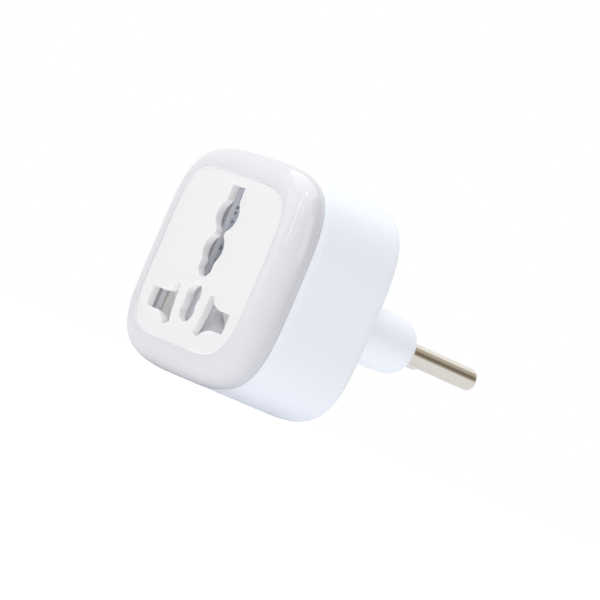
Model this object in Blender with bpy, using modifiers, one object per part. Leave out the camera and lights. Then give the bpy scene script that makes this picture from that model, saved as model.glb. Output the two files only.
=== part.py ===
"""Universal travel adapter: a socket panel for foreign plugs in front, two round mains pins behind.

Metres, +Z up, +X to the right of someone who looks at the panel, pins along +Y.
The origin is on the surface that the adapter lies on, under the middle of its box.
"""

from math import atan2, cos, pi, sin, sqrt

import bmesh
import bpy
from mathutils import Matrix, Vector

MM = 0.001
CLEARANCE = 0.3 * MM  # between pieces that meet
THROUGH = 1.0 * MM  # how far a cutter runs past a face
BLEND = 0.1 * MM  # how far joined shapes run into each other or keep from sharing a face

# ---- outside ----
BODY_HALF = 23.75 * MM  # half of the square body's width and height
BODY_SQUARENESS = 3.8  # exponent of the rounded square
BODY_DEPTH = 28.0 * MM  # from the panel's face to the rear wall's outside
REAR_ROUNDING = 2.7 * MM
HOUSING_WALL = 2.0 * MM
REAR_WALL = 2.0 * MM
TUB_ROUNDING = 1.7 * MM  # inside, between the wall and the rear wall

BOSS_HALF_HEIGHT = 6.15 * MM
BOSS_LENGTH = 19.4 * MM
BOSS_ROUNDING = 4.6 * MM
BOSS_CORE_WALL = 3.0 * MM  # end wall that is left in front of the cored pocket
BOSS_ROOT_OVERLAP = 1.0 * MM

BEZEL_DEPTH = 6.4 * MM
BEZEL_CREST = 4.8 * MM  # depth at which the frame is widest
BEZEL_PROUD = 0.25 * MM  # its lip stands in front of the panel
BEZEL_REAR_TUCK = 0.3 * MM  # how far it curves back in at the joint
TONGUE_LENGTH = 2.6 * MM
TONGUE_WALL = 1.1 * MM

# ---- socket panel ----
PANEL_HALF = 18.2 * MM
PANEL_SQUARENESS = 4.8
PANEL_THICKNESS = 1.8 * MM
FLANGE_HALF = 19.3 * MM
FLANGE_INNER_HALF = 16.8 * MM
FLANGE_FRONT = 1.5 * MM
FLANGE_BACK = 2.7 * MM

ROW_Z = -10.8 * MM  # line and neutral row, from the middle of the panel
BLADE_HALF = 2.13 * MM  # half height of a slot's outer, rectangular end
BLADE_OUTER_X = 14.27 * MM
BLADE_FLAT_X = 10.9 * MM  # where its straight edges end and the horns begin
EARTH_TOP_Z = 16.0 * MM
EARTH_HALF = 2.25 * MM  # half width of the earth slot's rectangular top
EARTH_CIRCLES = ((9.75 * MM, 3.68 * MM), (2.4 * MM, 3.35 * MM), (-1.2 * MM, 2.42 * MM))  # (z, radius)
EARTH_FILLET = 1.0 * MM
CENTRE_Z = -9.23 * MM
CENTRE_RADIUS = 2.45 * MM
CENTRE_HALF_RUN = 1.7 * MM  # from its middle to the middle of a round end
CENTRE_FILLET = 3.0 * MM  # hollows its waist

# ---- pins ----
PIN_SPACING = 19.0 * MM
PIN_RADIUS = 2.4 * MM
PIN_LENGTH = 19.0 * MM  # that stands out of the boss
PIN_Z = -0.9 * MM  # from the middle of the body
PIN_TIP_ROUNDING = 1.1 * MM
PIN_FLANGE_RADIUS = 3.7 * MM
PIN_FLANGE_THICKNESS = 1.5 * MM
PIN_TAP_RADIUS = 1.6 * MM
PIN_TAP_DEPTH = 8.0 * MM
PIN_TAP_CONE = 0.8 * MM

# ---- carrier ----
PLATE_THICKNESS = 1.2 * MM
WINDOW_MARGIN = 0.1 * MM  # the windows end this far inside the shutters' edges
WINDOW_OVERLAP = 0.6 * MM  # a closed shutter reaches this far above its window
WELL_WALL = 1.0 * MM
WELL_CLEARANCE = 0.2 * MM
SIDE_WALL = 1.6 * MM
RAIL_STOP_WALL = 0.6 * MM  # under the shutters, at the closed end of their grooves
RAIL_OVER_TRAVEL = 1.5 * MM  # the grooves run this far past the raised shutters
BLOCK_WALL = 0.8 * MM

# ---- contacts ----
STRIP = 0.8 * MM  # brass strip thickness
CONTACT_GAP = 4.3 * MM
CONTACT_INNER_X = 5.2 * MM
CONTACT_OUTER_X = 13.8 * MM
CONTACT_FLARE = 0.55 * MM
CONTACT_FLARE_RUN = 1.7 * MM
TAB_WIDTH = 7.0 * MM
FLAT_BLADE_X = 6.35 * MM
FLAT_BLADE_NOTCH = 1.9 * MM
FLAT_BLADE_NOTCH_DEPTH = 7.0 * MM
CONTACT_INSET = 0.2 * MM  # from the block's front to the leaves' mouth

# ---- shutters ----
SHUTTER_WALL = 1.6 * MM
SHUTTER_INNER_X = 4.1 * MM
SHUTTER_OUTER_X = 15.0 * MM
SHUTTER_OVER_ROW = 5.9 * MM  # from the row's middle to its upper edge
SHUTTER_RAMP_OVER_ROW = 3.5 * MM
SHUTTER_UNDER_ROW = 4.9 * MM
SHUTTER_CHEEK = 0.7 * MM
SHUTTER_RAMP_DEPTH = 6.2 * MM
SHUTTER_TRAVEL = 8.4 * MM
RAIL_DEPTH = 1.0 * MM  # how far a shutter's rail stands into its groove

# ---- springs ----
SPRING_X = 9.5 * MM
SPRING_BEHIND_WALL = 0.6 * MM  # from a shutter's back to its spring's axis
SPRING_RADIUS = 1.45 * MM
SPRING_WIRE = 0.2 * MM  # radius of the wire
SPRING_TURNS = 8
SPRING_TURN_POINTS = 10
SPRING_STOP_Z = 13.0 * MM
SPRING_STOP_THICKNESS = 1.4 * MM
SPRING_LUG_THICKNESS = 2.0 * MM
PEG_RADIUS = 0.9 * MM
PEG_LENGTH = 2.0 * MM

# ---- fasteners ----
SCREW_HEAD_RADIUS = 1.9 * MM
SCREW_HEAD_HEIGHT = 1.5 * MM
SCREW_SHANK_RADIUS = 1.0 * MM
SCREW_FACE_SHARE = 0.62  # of the head's radius, the flat in its middle
SCREW_CHAMFER = 0.2 * MM
RECESS_ARM_SHARE = 0.55  # of the head's radius
RECESS_BLADE_SHARE = 0.13
RECESS_DEPTH_SHARE = 0.6  # of the head's height
CARRIER_SCREW_LENGTH = 9.0 * MM
TERMINAL_SHANK_RADIUS = 1.3 * MM
TERMINAL_HEAD_RADIUS = 2.5 * MM
TERMINAL_SCREW_LENGTH = 8.0 * MM
WASHER_THICKNESS = 0.7 * MM
WASHER_SPLIT = 0.5 * MM
TOP_POST = (14.2 * MM, 14.2 * MM)
TOP_POST_RADIUS = 2.4 * MM
BOTTOM_POST_RADIUS = 1.7 * MM
WEB_SHARE = 0.4  # of a post's radius, half the thickness of its web
CUP_WALL = 0.5 * MM
CUP_CLEARANCE = 0.2 * MM
CUP_DEPTH = 2.2 * MM

# ---- how finely curves are cut ----
SQUARE_POINTS = 64
STADIUM_POINTS = 40
ROUND_STEPS = 24
FINE_STEPS = 16  # on small bores
EDGE_STEPS = 6  # round a rounded edge
BEZEL_STEPS = 8

# ---- worked out from the sizes above ----
OVERALL_DEPTH = BEZEL_PROUD + BODY_DEPTH + BOSS_LENGTH + PIN_LENGTH
FACE_Y = -OVERALL_DEPTH / 2 + BEZEL_PROUD  # the panel's front face
MID_Z = BODY_HALF  # the body's middle above the surface it lies on
BOSS_END = BODY_DEPTH + BOSS_LENGTH
HOUSING_FRONT = BEZEL_DEPTH + CLEARANCE
TUB_HALF = BODY_HALF - HOUSING_WALL
FLOOR_Y = BODY_DEPTH - REAR_WALL  # the rear wall's inside
PLATE_FRONT = FLANGE_BACK + CLEARANCE
PLATE_BACK = PLATE_FRONT + PLATE_THICKNESS
TONGUE_OUTER = TUB_HALF - CLEARANCE
TONGUE_INNER = TONGUE_OUTER - TONGUE_WALL
TONGUE_END = BEZEL_DEPTH + TONGUE_LENGTH
PLATE_HALF = TONGUE_INNER - CLEARANCE
PIN_X = PIN_SPACING / 2
FLANGE_SEAT = FLOOR_Y - CLEARANCE
PIN_INNER_END = FLANGE_SEAT - PIN_FLANGE_THICKNESS
TAB_BACK = PIN_INNER_END - CLEARANCE
TAB_FRONT = TAB_BACK - STRIP
WASHER_BACK = TAB_FRONT - CLEARANCE
WASHER_FRONT = WASHER_BACK - WASHER_THICKNESS
TERMINAL_HEAD_BACK = WASHER_FRONT - CLEARANCE
CUP_RADIUS = SCREW_HEAD_RADIUS + CUP_CLEARANCE + CUP_WALL
CUP_SEAT = PLATE_FRONT + CUP_DEPTH
POST_FRONT = CUP_SEAT + PLATE_THICKNESS + CLEARANCE
WELL_BOTTOM = CENTRE_Z - CENTRE_HALF_RUN - CENTRE_RADIUS - WELL_CLEARANCE - WELL_WALL
BOTTOM_POST = (0.0, WELL_BOTTOM - CLEARANCE - CUP_RADIUS)
SHUTTER_FRONT = PLATE_BACK + CLEARANCE
SHUTTER_WALL_BACK = SHUTTER_FRONT + SHUTTER_WALL
SHUTTER_FOOT = SHUTTER_FRONT + SHUTTER_RAMP_DEPTH
SHUTTER_BACK = SHUTTER_FOOT + SHUTTER_WALL
SHUTTER_TOP = ROW_Z + SHUTTER_OVER_ROW
SHUTTER_RAMP_TOP = ROW_Z + SHUTTER_RAMP_OVER_ROW
SHUTTER_BOTTOM = ROW_Z - SHUTTER_UNDER_ROW
WINDOW_INNER_X = SHUTTER_INNER_X - WINDOW_MARGIN
WINDOW_OUTER_X = SHUTTER_OUTER_X - WINDOW_MARGIN
WINDOW_TOP = SHUTTER_TOP - WINDOW_OVERLAP
WINDOW_BOTTOM = SHUTTER_BOTTOM + WINDOW_MARGIN
SPRING_ROOM = SPRING_RADIUS + SPRING_WIRE + CLEARANCE  # half the width of what a spring stands on
SPRING_Y = SHUTTER_WALL_BACK + SPRING_BEHIND_WALL
BLOCK_FRONT = SHUTTER_BACK + CLEARANCE + BLEND
BLOCK_BACK = TAB_FRONT - CLEARANCE
CONTACT_MOUTH = BLOCK_FRONT + CONTACT_INSET
SIDE_WALL_INNER = SHUTTER_OUTER_X + CLEARANCE
SIDE_WALL_OUTER = SIDE_WALL_INNER + SIDE_WALL
POCKET_HALF = CONTACT_GAP / 2 + STRIP + CONTACT_FLARE + CLEARANCE

PLASTIC_PANEL = ("matt_white_plastic", (0.90, 0.90, 0.90, 1), 0.55, 0.0)
PLASTIC_GLOSS = ("gloss_white_plastic", (0.84, 0.84, 0.87, 1), 0.12, 0.0)
PLASTIC_BODY = ("satin_white_plastic", (0.86, 0.88, 0.92, 1), 0.45, 0.0)
PLASTIC_INNER = ("grey_inner_plastic", (0.62, 0.63, 0.65, 1), 0.5, 0.0)
NICKEL = ("bright_nickel", (0.78, 0.76, 0.72, 1), 0.18, 1.0)
BRASS = ("brass_strip", (0.75, 0.58, 0.28, 1), 0.3, 1.0)
STEEL = ("zinc_steel", (0.66, 0.67, 0.68, 1), 0.3, 1.0)

parts = None
cutters = None


# ---------------------------------------------------------------- helpers


def clear_scene():
    for old in list(bpy.data.objects):
        bpy.data.objects.remove(old, do_unlink=True)


def new_collection(name):
    collection = bpy.data.collections.new(name)
    bpy.context.scene.collection.children.link(collection)
    return collection


def material(spec):
    name, colour, roughness, metallic = spec
    found = bpy.data.materials.get(name)
    if found:
        return found
    made = bpy.data.materials.new(name)
    made.use_nodes = True
    shader = made.node_tree.nodes["Principled BSDF"]
    shader.inputs["Base Color"].default_value = colour
    shader.inputs["Roughness"].default_value = roughness
    shader.inputs["Metallic"].default_value = metallic
    return made


def as_object(name, mesh, collection):
    made = bpy.data.objects.new(name, mesh)
    collection.objects.link(made)
    if collection is cutters:
        made.hide_render = True
        made.display_type = "WIRE"
    return made


def place(x, depth, height):
    """A point given from the middle of the panel's face, in the adapter's frame."""
    return Vector((x, FACE_Y + depth, MID_Z + height))


def rounded_square(half, exponent, count=SQUARE_POINTS):
    """Points (x, z) round a superellipse, anticlockwise, with a flat side at the very bottom."""
    points = []
    for index in range(count):
        angle = 2 * pi * (index + 0.5) / count
        c, s = cos(angle), sin(angle)
        radius = half / (abs(c) ** exponent + abs(s) ** exponent) ** (1 / exponent)
        points.append((radius * c, radius * s))
    bottom = min(z for _, z in points)
    return [(x * half / -bottom, z * half / -bottom) for x, z in points]


def stadium(radius, half_run, count=STADIUM_POINTS):
    """Points (x, z) round two half circles of this radius, joined by straights along X."""
    points = []
    for index in range(count):
        angle = 2 * pi * (index + 0.5) / count
        x = radius * cos(angle)
        points.append((x + (half_run if x > 0 else -half_run), radius * sin(angle)))
    return points


def loft(name, sections, collection, ring=False, height=0.0):
    """A solid through outlines with the same number of points. sections holds (depth, outline).

    With ring the last section joins the first, for a frame; otherwise both ends are capped."""
    mesh = bmesh.new()
    rows = []
    for depth, outline in sections:
        rows.append([mesh.verts.new(place(x, depth, z + height)) for x, z in outline])
    pairs = list(zip(rows, rows[1:] + rows[:1])) if ring else list(zip(rows, rows[1:]))
    for first, second in pairs:
        for index in range(len(first)):
            after = (index + 1) % len(first)
            mesh.faces.new((first[index], first[after], second[after], second[index]))
    if not ring:
        mesh.faces.new(rows[0])
        mesh.faces.new(rows[-1])
    bmesh.ops.recalc_face_normals(mesh, faces=mesh.faces)
    data = bpy.data.meshes.new(name)
    mesh.to_mesh(data)
    mesh.free()
    return as_object(name, data, collection)


def sheet(name, loops, front, back, collection):
    """A flat piece between two depths, from its outline and the outlines of its holes."""
    curve = bpy.data.curves.new(name, "CURVE")
    curve.dimensions = "2D"
    curve.fill_mode = "BOTH"
    curve.extrude = (back - front) / 2
    for loop in loops:
        spline = curve.splines.new("POLY")
        spline.points.add(len(loop) - 1)
        for point, (x, z) in zip(spline.points, loop):
            point.co = (x, z, 0, 1)
        spline.use_cyclic_u = True
    guide = bpy.data.objects.new(name + "_outline", curve)
    bpy.context.scene.collection.objects.link(guide)
    middle = Matrix.Translation(place(0, (front + back) / 2, 0))
    guide.matrix_world = middle @ Matrix.Rotation(pi / 2, 4, "X")
    return mesh_from(guide, name, collection)


def mesh_from(guide, name, collection):
    """Turns a curve object into a closed mesh object, in place."""
    bpy.context.view_layer.update()
    graph = bpy.context.evaluated_depsgraph_get()
    data = bpy.data.meshes.new_from_object(guide.evaluated_get(graph))
    data.transform(guide.matrix_world)
    source = guide.data
    bpy.data.objects.remove(guide)
    bpy.data.curves.remove(source)
    mesh = bmesh.new()
    mesh.from_mesh(data)
    bmesh.ops.remove_doubles(mesh, verts=mesh.verts, dist=0.001 * MM)
    bmesh.ops.recalc_face_normals(mesh, faces=mesh.faces)
    mesh.to_mesh(data)
    mesh.free()
    data.materials.clear()
    return as_object(name, data, collection)


def box(name, x, depth, height, collection):
    """A block from three (low, high) pairs, measured from the middle of the panel's face."""
    low, high = place(x[0], depth[0], height[0]), place(x[1], depth[1], height[1])
    mesh = bmesh.new()
    middle = Matrix.Translation((low + high) / 2)
    size = Matrix.Diagonal((high - low).to_4d())
    size[3][3] = 1
    bmesh.ops.create_cube(mesh, size=1, matrix=middle @ size)
    data = bpy.data.meshes.new(name)
    mesh.to_mesh(data)
    mesh.free()
    return as_object(name, data, collection)


def rod(name, x, depth, height, radius, collection, along="Y", steps=ROUND_STEPS):
    """A round bar between two depths, or with along Z between two heights."""
    if along == "Y":
        start, end = place(x, depth[0], height), place(x, depth[1], height)
        turn = Matrix.Rotation(pi / 2, 4, "X")
    else:
        start, end = place(x, depth, height[0]), place(x, depth, height[1])
        turn = Matrix.Identity(4)
    mesh = bmesh.new()
    bmesh.ops.create_cone(
        mesh,
        cap_ends=True,
        segments=steps,
        radius1=radius,
        radius2=radius,
        depth=(end - start).length,
        matrix=Matrix.Translation((start + end) / 2) @ turn,
    )
    data = bpy.data.meshes.new(name)
    mesh.to_mesh(data)
    mesh.free()
    return as_object(name, data, collection)


def turned(name, x, height, profile, collection, steps=ROUND_STEPS):
    """A piece turned about an axis along Y. profile holds (radius, depth), from axis to axis."""
    mesh = bmesh.new()
    verts = [mesh.verts.new((radius, 0, -depth)) for radius, depth in profile]
    for first, second in zip(verts, verts[1:]):
        mesh.edges.new((first, second))
    data = bpy.data.meshes.new(name)
    mesh.to_mesh(data)
    mesh.free()
    made = as_object(name, data, collection)
    made.location = place(x, 0, height)
    made.rotation_euler = (pi / 2, 0, 0)
    spin = made.modifiers.new("turn", "SCREW")
    spin.steps = spin.render_steps = steps
    spin.use_merge_vertices = True
    spin.merge_threshold = 0.001 * MM
    return made


def combine(target, other, operation="DIFFERENCE"):
    """Adds other to target, or cuts it away, and leaves target a plain mesh."""
    change = target.modifiers.new(operation.lower(), "BOOLEAN")
    change.operation = operation
    change.solver = "EXACT"
    change.object = other
    bake(target)
    bpy.data.objects.remove(other)


def bake(target):
    """Applies the modifiers of an object and its place to its mesh."""
    bpy.context.view_layer.update()
    graph = bpy.context.evaluated_depsgraph_get()
    data = bpy.data.meshes.new_from_object(target.evaluated_get(graph))
    target.modifiers.clear()
    data.transform(target.matrix_world)
    target.matrix_world = Matrix.Identity(4)
    target.data = data


def finish(target, spec, angle=35):
    """Gives a piece its material and smooth shading, with its origin in its middle."""
    bake(target)
    data = target.data
    data.materials.clear()
    data.materials.append(material(spec))
    data.shade_smooth()
    data.set_sharp_from_angle(angle=angle * pi / 180)
    corners = [Vector(corner) for corner in target.bound_box]
    middle = sum(corners, Vector()) / 8
    data.transform(Matrix.Translation(-middle))
    target.location = middle
    return target


# ---------------------------------------------------------------- outlines


def arc(middle, radius, start, end, steps):
    """Points round an arc, with its ends, angles in radians."""
    return [
        (middle[0] + radius * cos(angle), middle[1] + radius * sin(angle))
        for angle in (start + (end - start) * step / steps for step in range(steps + 1))
    ]


def bend(start, control, end, steps=6):
    """Points of a smooth curve from start to end that leans towards control."""
    points = []
    for step in range(steps + 1):
        t = step / steps
        near, lean, far = (1 - t) ** 2, 2 * t * (1 - t), t**2
        x, z = (near * a + lean * b + far * c for a, b, c in zip(start, control, end))
        points.append((x, z))
    return points


def blade_slot(side):
    """A slot for round pins, rectangular blades and flat blades, upright or slanted. side is 1 or -1."""
    flat = (BLADE_FLAT_X, BLADE_HALF)
    top = bend(flat, (8.7 * MM, 2.3 * MM), (7.45 * MM, 3.3 * MM)) + [(7.0 * MM, 4.65 * MM)]
    inner = bend((5.45 * MM, 4.4 * MM), (5.6 * MM, 0.3 * MM), (4.42 * MM, -3.5 * MM))
    foot = [(4.95 * MM, -3.95 * MM), (6.4 * MM, -4.5 * MM), (6.85 * MM, -4.35 * MM)]
    bottom = bend((7.1 * MM, -3.6 * MM), (8.3 * MM, -2.4 * MM), (BLADE_FLAT_X, -BLADE_HALF))
    outer = [(BLADE_OUTER_X, -BLADE_HALF), (BLADE_OUTER_X, BLADE_HALF)]
    return [(side * x, ROW_Z + z) for x, z in top + inner + foot + bottom + outer]


def fillet_between(low, high):
    """The small circle that touches two circles on the slot's middle line from outside: (x, z)."""
    (low_z, low_radius), (high_z, high_radius) = low, high
    reach_low, reach_high = low_radius + EARTH_FILLET, high_radius + EARTH_FILLET
    gap = high_z - low_z
    along = (gap**2 + reach_low**2 - reach_high**2) / (2 * gap)
    return sqrt(reach_low**2 - along**2), low_z + along


def earth_slot():
    """The right half runs from the slot's flat top down three bulges, and the left half mirrors it."""
    upper, middle, lower = EARTH_CIRCLES
    shoulder_x = EARTH_HALF + EARTH_FILLET
    shoulder_z = upper[0] + sqrt((upper[1] + EARTH_FILLET) ** 2 - shoulder_x**2)
    necks = [(shoulder_x, shoulder_z), fillet_between(middle, upper), fillet_between(lower, middle)]

    def angle_to(circle, neck):
        return atan2(neck[1] - circle[0], neck[0])

    right = [(EARTH_HALF, EARTH_TOP_Z)]
    start = pi
    for circle, above, below in zip(EARTH_CIRCLES, necks, necks[1:] + [None]):
        into = angle_to(circle, above)
        right += arc(above, EARTH_FILLET, start, pi + into, 3)
        out = angle_to(circle, below) if below else -pi / 2
        right += arc((0, circle[0]), circle[1], into, out, 8)[1:]
        start = pi + out
    return right + [(-x, z) for x, z in reversed(right[:-1])]


def centre_slot(grow=0.0):
    """Two round ends with a hollowed waist. grow widens it all round."""
    radius, fillet = CENTRE_RADIUS + grow, CENTRE_FILLET - grow
    neck = sqrt((radius + fillet) ** 2 - CENTRE_HALF_RUN**2)
    lean = atan2(CENTRE_HALF_RUN, neck)
    upper, lower = (0, CENTRE_Z + CENTRE_HALF_RUN), (0, CENTRE_Z - CENTRE_HALF_RUN)
    points = arc(upper, radius, -lean, pi + lean, 12)
    points += arc((-neck, CENTRE_Z), fillet, lean, -lean, 3)[1:]
    points += arc(lower, radius, pi - lean, 2 * pi + lean, 12)[1:]
    return points + arc((neck, CENTRE_Z), fillet, pi + lean, pi - lean, 3)[1:-1]


# ---------------------------------------------------------------- outer pieces


def socket_panel():
    holes = [earth_slot(), centre_slot(), blade_slot(1), blade_slot(-1)]
    face = rounded_square(PANEL_HALF - CLEARANCE / 2, PANEL_SQUARENESS)
    panel = sheet("socket_panel", [face] + holes, 0, PANEL_THICKNESS, parts)
    rims = [rounded_square(half, PANEL_SQUARENESS) for half in (FLANGE_HALF, FLANGE_INNER_HALF)]
    combine(panel, sheet("panel_flange", rims, FLANGE_FRONT, FLANGE_BACK, cutters), "UNION")
    return finish(panel, PLASTIC_PANEL)


def bezel():
    """The bulging frame, with a lip round the panel and a tongue that plugs into the housing."""
    lip = PANEL_HALF + CLEARANCE / 2
    front_rings = []
    for step in range(BEZEL_STEPS + 1):
        share = step / BEZEL_STEPS
        half = lip + (BODY_HALF - lip) * sin(pi / 2 * share)
        depth = -BEZEL_PROUD + (BEZEL_CREST + BEZEL_PROUD) * (1 - cos(pi / 2 * share))
        squareness = PANEL_SQUARENESS + (BODY_SQUARENESS - PANEL_SQUARENESS) * share
        front_rings.append((depth, half, squareness))
    rings = front_rings + [
        ((BEZEL_CREST + BEZEL_DEPTH) / 2, BODY_HALF - BEZEL_REAR_TUCK / 4, BODY_SQUARENESS),
        (BEZEL_DEPTH, BODY_HALF - BEZEL_REAR_TUCK, BODY_SQUARENESS),
        (BEZEL_DEPTH, TONGUE_OUTER, BODY_SQUARENESS),
        (TONGUE_END, TONGUE_OUTER, BODY_SQUARENESS),
        (TONGUE_END, TONGUE_INNER, BODY_SQUARENESS),
        (PLATE_FRONT, PLATE_HALF + CLEARANCE, BODY_SQUARENESS),
        (FLANGE_FRONT - CLEARANCE, FLANGE_HALF + CLEARANCE, PANEL_SQUARENESS),
        (FLANGE_FRONT - CLEARANCE, lip, PANEL_SQUARENESS),
    ]
    sections = [(depth, rounded_square(half, squareness)) for depth, half, squareness in rings]
    return finish(loft("bezel", sections, parts, ring=True), PLASTIC_GLOSS, 50)


def rear_housing():
    """A tub with the stadium boss behind it, cored out and bored for the pins, with three screw posts."""
    rings = [
        (HOUSING_FRONT, BODY_HALF - BEZEL_REAR_TUCK),
        (HOUSING_FRONT + BEZEL_REAR_TUCK, BODY_HALF),
    ]
    rings += rounded_end(BODY_HALF, BODY_DEPTH, REAR_ROUNDING, EDGE_STEPS)
    sections = [(depth, rounded_square(half, BODY_SQUARENESS)) for depth, half in rings]
    housing = loft("rear_housing", sections, parts)
    combine(housing, pin_boss(), "UNION")

    hollow = [(HOUSING_FRONT - THROUGH, TUB_HALF)]
    hollow += rounded_end(TUB_HALF, FLOOR_Y, TUB_ROUNDING, EDGE_STEPS // 2)
    sections = [(depth, rounded_square(half, BODY_SQUARENESS)) for depth, half in hollow]
    combine(housing, loft("tub_hollow", sections, cutters))

    add_post(housing, *BOTTOM_POST, BOTTOM_POST_RADIUS)
    for side in (-1, 1):
        add_post(housing, side * TOP_POST[0], TOP_POST[1], TOP_POST_RADIUS)
        bore = (FLOOR_Y - THROUGH, BOSS_END + THROUGH)
        combine(housing, rod("pin_bore", side * PIN_X, bore, PIN_Z, PIN_RADIUS + CLEARANCE, cutters))
    core_half_x = PIN_X - PIN_RADIUS - CLEARANCE - BOSS_CORE_WALL / 2
    core_half_z = BOSS_HALF_HEIGHT - BOSS_CORE_WALL / 2
    core = box(
        "boss_core",
        (-core_half_x, core_half_x),
        (FLOOR_Y - THROUGH, BOSS_END - BOSS_CORE_WALL),
        (PIN_Z - core_half_z, PIN_Z + core_half_z),
        cutters,
    )
    combine(housing, core)
    return finish(housing, PLASTIC_BODY)


def rounded_end(half, end, rounding, steps):
    """(depth, half size) down a wall and round its last edge, up to the flat end."""
    rings = []
    for step in range(steps + 1):
        angle = pi / 2 * step / steps
        rings.append((end - rounding * (1 - sin(angle)), half - rounding * (1 - cos(angle))))
    return rings


def pin_boss():
    sections = [(BODY_DEPTH - BOSS_ROOT_OVERLAP, BOSS_HALF_HEIGHT)]
    sections += rounded_end(BOSS_HALF_HEIGHT, BOSS_END, BOSS_ROUNDING, EDGE_STEPS)
    rings = [(depth, stadium(half, PIN_X)) for depth, half in sections]
    return loft("pin_boss", rings, cutters, height=PIN_Z)


def add_post(housing, x, z, radius):
    """A screw post that stands on the rear wall, with a web to the wall beside it."""
    post = rod("post", x, (POST_FRONT, FLOOR_Y + REAR_WALL / 2), z, radius, cutters)
    combine(housing, post, "UNION")
    reach = TUB_HALF + HOUSING_WALL / 2
    web_half = radius * WEB_SHARE
    web_depth = (TONGUE_END + CLEARANCE + BLEND, FLOOR_Y + REAR_WALL / 2)
    if z < 0:
        web = box("web", (x - web_half, x + web_half), web_depth, (-reach, z), cutters)
    else:
        corner = TUB_HALF / 2 ** (1 / BODY_SQUARENESS) + HOUSING_WALL / 2
        length = (corner - abs(x)) * sqrt(2)
        web = box("web", (0, length), web_depth, (-web_half, web_half), cutters)
        web.data.transform(Matrix.Translation(-place(0, 0, 0)))
        angle = -atan2(z, x)
        web.data.transform(Matrix.Translation(place(x, 0, z)) @ Matrix.Rotation(angle, 4, "Y"))
    combine(housing, web, "UNION")
    pilot = (POST_FRONT - THROUGH, CUP_SEAT + CARRIER_SCREW_LENGTH + THROUGH)
    bore = rod("pilot", x, pilot, z, SCREW_SHANK_RADIUS + CLEARANCE / 2, cutters, steps=FINE_STEPS)
    combine(housing, bore)


# ---------------------------------------------------------------- inner frame


def shutter_plate():
    """Plate behind the panel, with a window for each slot, sunk screw seats and the springs' stops."""
    earth_half = EARTH_CIRCLES[0][1] + 2 * WELL_CLEARANCE
    earth_low = EARTH_CIRCLES[2][0] - EARTH_CIRCLES[2][1] - WELL_CLEARANCE
    earth = rectangle(-earth_half, earth_half, earth_low, EARTH_TOP_Z + 2 * WELL_CLEARANCE)
    outline = rounded_square(PLATE_HALF, BODY_SQUARENESS)
    holes = [earth, centre_slot(WELL_CLEARANCE), window(-1), window(1)]
    plate = sheet("shutter_plate", [outline] + holes, PLATE_FRONT, PLATE_BACK, parts)
    add_cup(plate, *BOTTOM_POST)
    for side in (-1, 1):
        add_cup(plate, side * TOP_POST[0], TOP_POST[1])
        add_spring_stop(plate, side)
    return finish(plate, PLASTIC_INNER)


def spread(side, inner, outer):
    """(low, high) of a span along X on one side of the middle. side is 1 or -1."""
    return (inner, outer) if side > 0 else (-outer, -inner)


def rectangle(left, right, bottom, top):
    return [(left, bottom), (right, bottom), (right, top), (left, top)]


def window(side):
    return rectangle(*spread(side, WINDOW_INNER_X, WINDOW_OUTER_X), WINDOW_BOTTOM, WINDOW_TOP)


def add_spring_stop(plate, side):
    """A shelf with a peg that holds a spring's upper end."""
    shelf_x = (side * SPRING_X - SPRING_ROOM, side * SPRING_X + SPRING_ROOM)
    shelf_depth = (PLATE_FRONT + PLATE_THICKNESS / 2, SPRING_Y + SPRING_ROOM)
    shelf_z = (SPRING_STOP_Z, SPRING_STOP_Z + SPRING_STOP_THICKNESS)
    combine(plate, box("shelf", shelf_x, shelf_depth, shelf_z, cutters), "UNION")
    peg_z = (SPRING_STOP_Z - PEG_LENGTH, SPRING_STOP_Z + SPRING_STOP_THICKNESS / 2)
    peg = rod("peg", side * SPRING_X, SPRING_Y, peg_z, PEG_RADIUS, cutters, along="Z", steps=FINE_STEPS)
    combine(plate, peg, "UNION")


def add_cup(plate, x, z):
    """A sunk seat for a screw head in the plate."""
    outside = (PLATE_FRONT + PLATE_THICKNESS / 2, CUP_SEAT + PLATE_THICKNESS)
    combine(plate, rod("cup", x, outside, z, CUP_RADIUS, cutters), "UNION")
    hollow = (PLATE_FRONT - THROUGH, CUP_SEAT)
    combine(plate, rod("cup_hollow", x, hollow, z, CUP_RADIUS - CUP_WALL, cutters))
    hole = (CUP_SEAT - THROUGH, CUP_SEAT + PLATE_THICKNESS + THROUGH)
    bore = rod("cup_hole", x, hole, z, SCREW_SHANK_RADIUS + CLEARANCE, cutters, steps=FINE_STEPS)
    combine(plate, bore)


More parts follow.
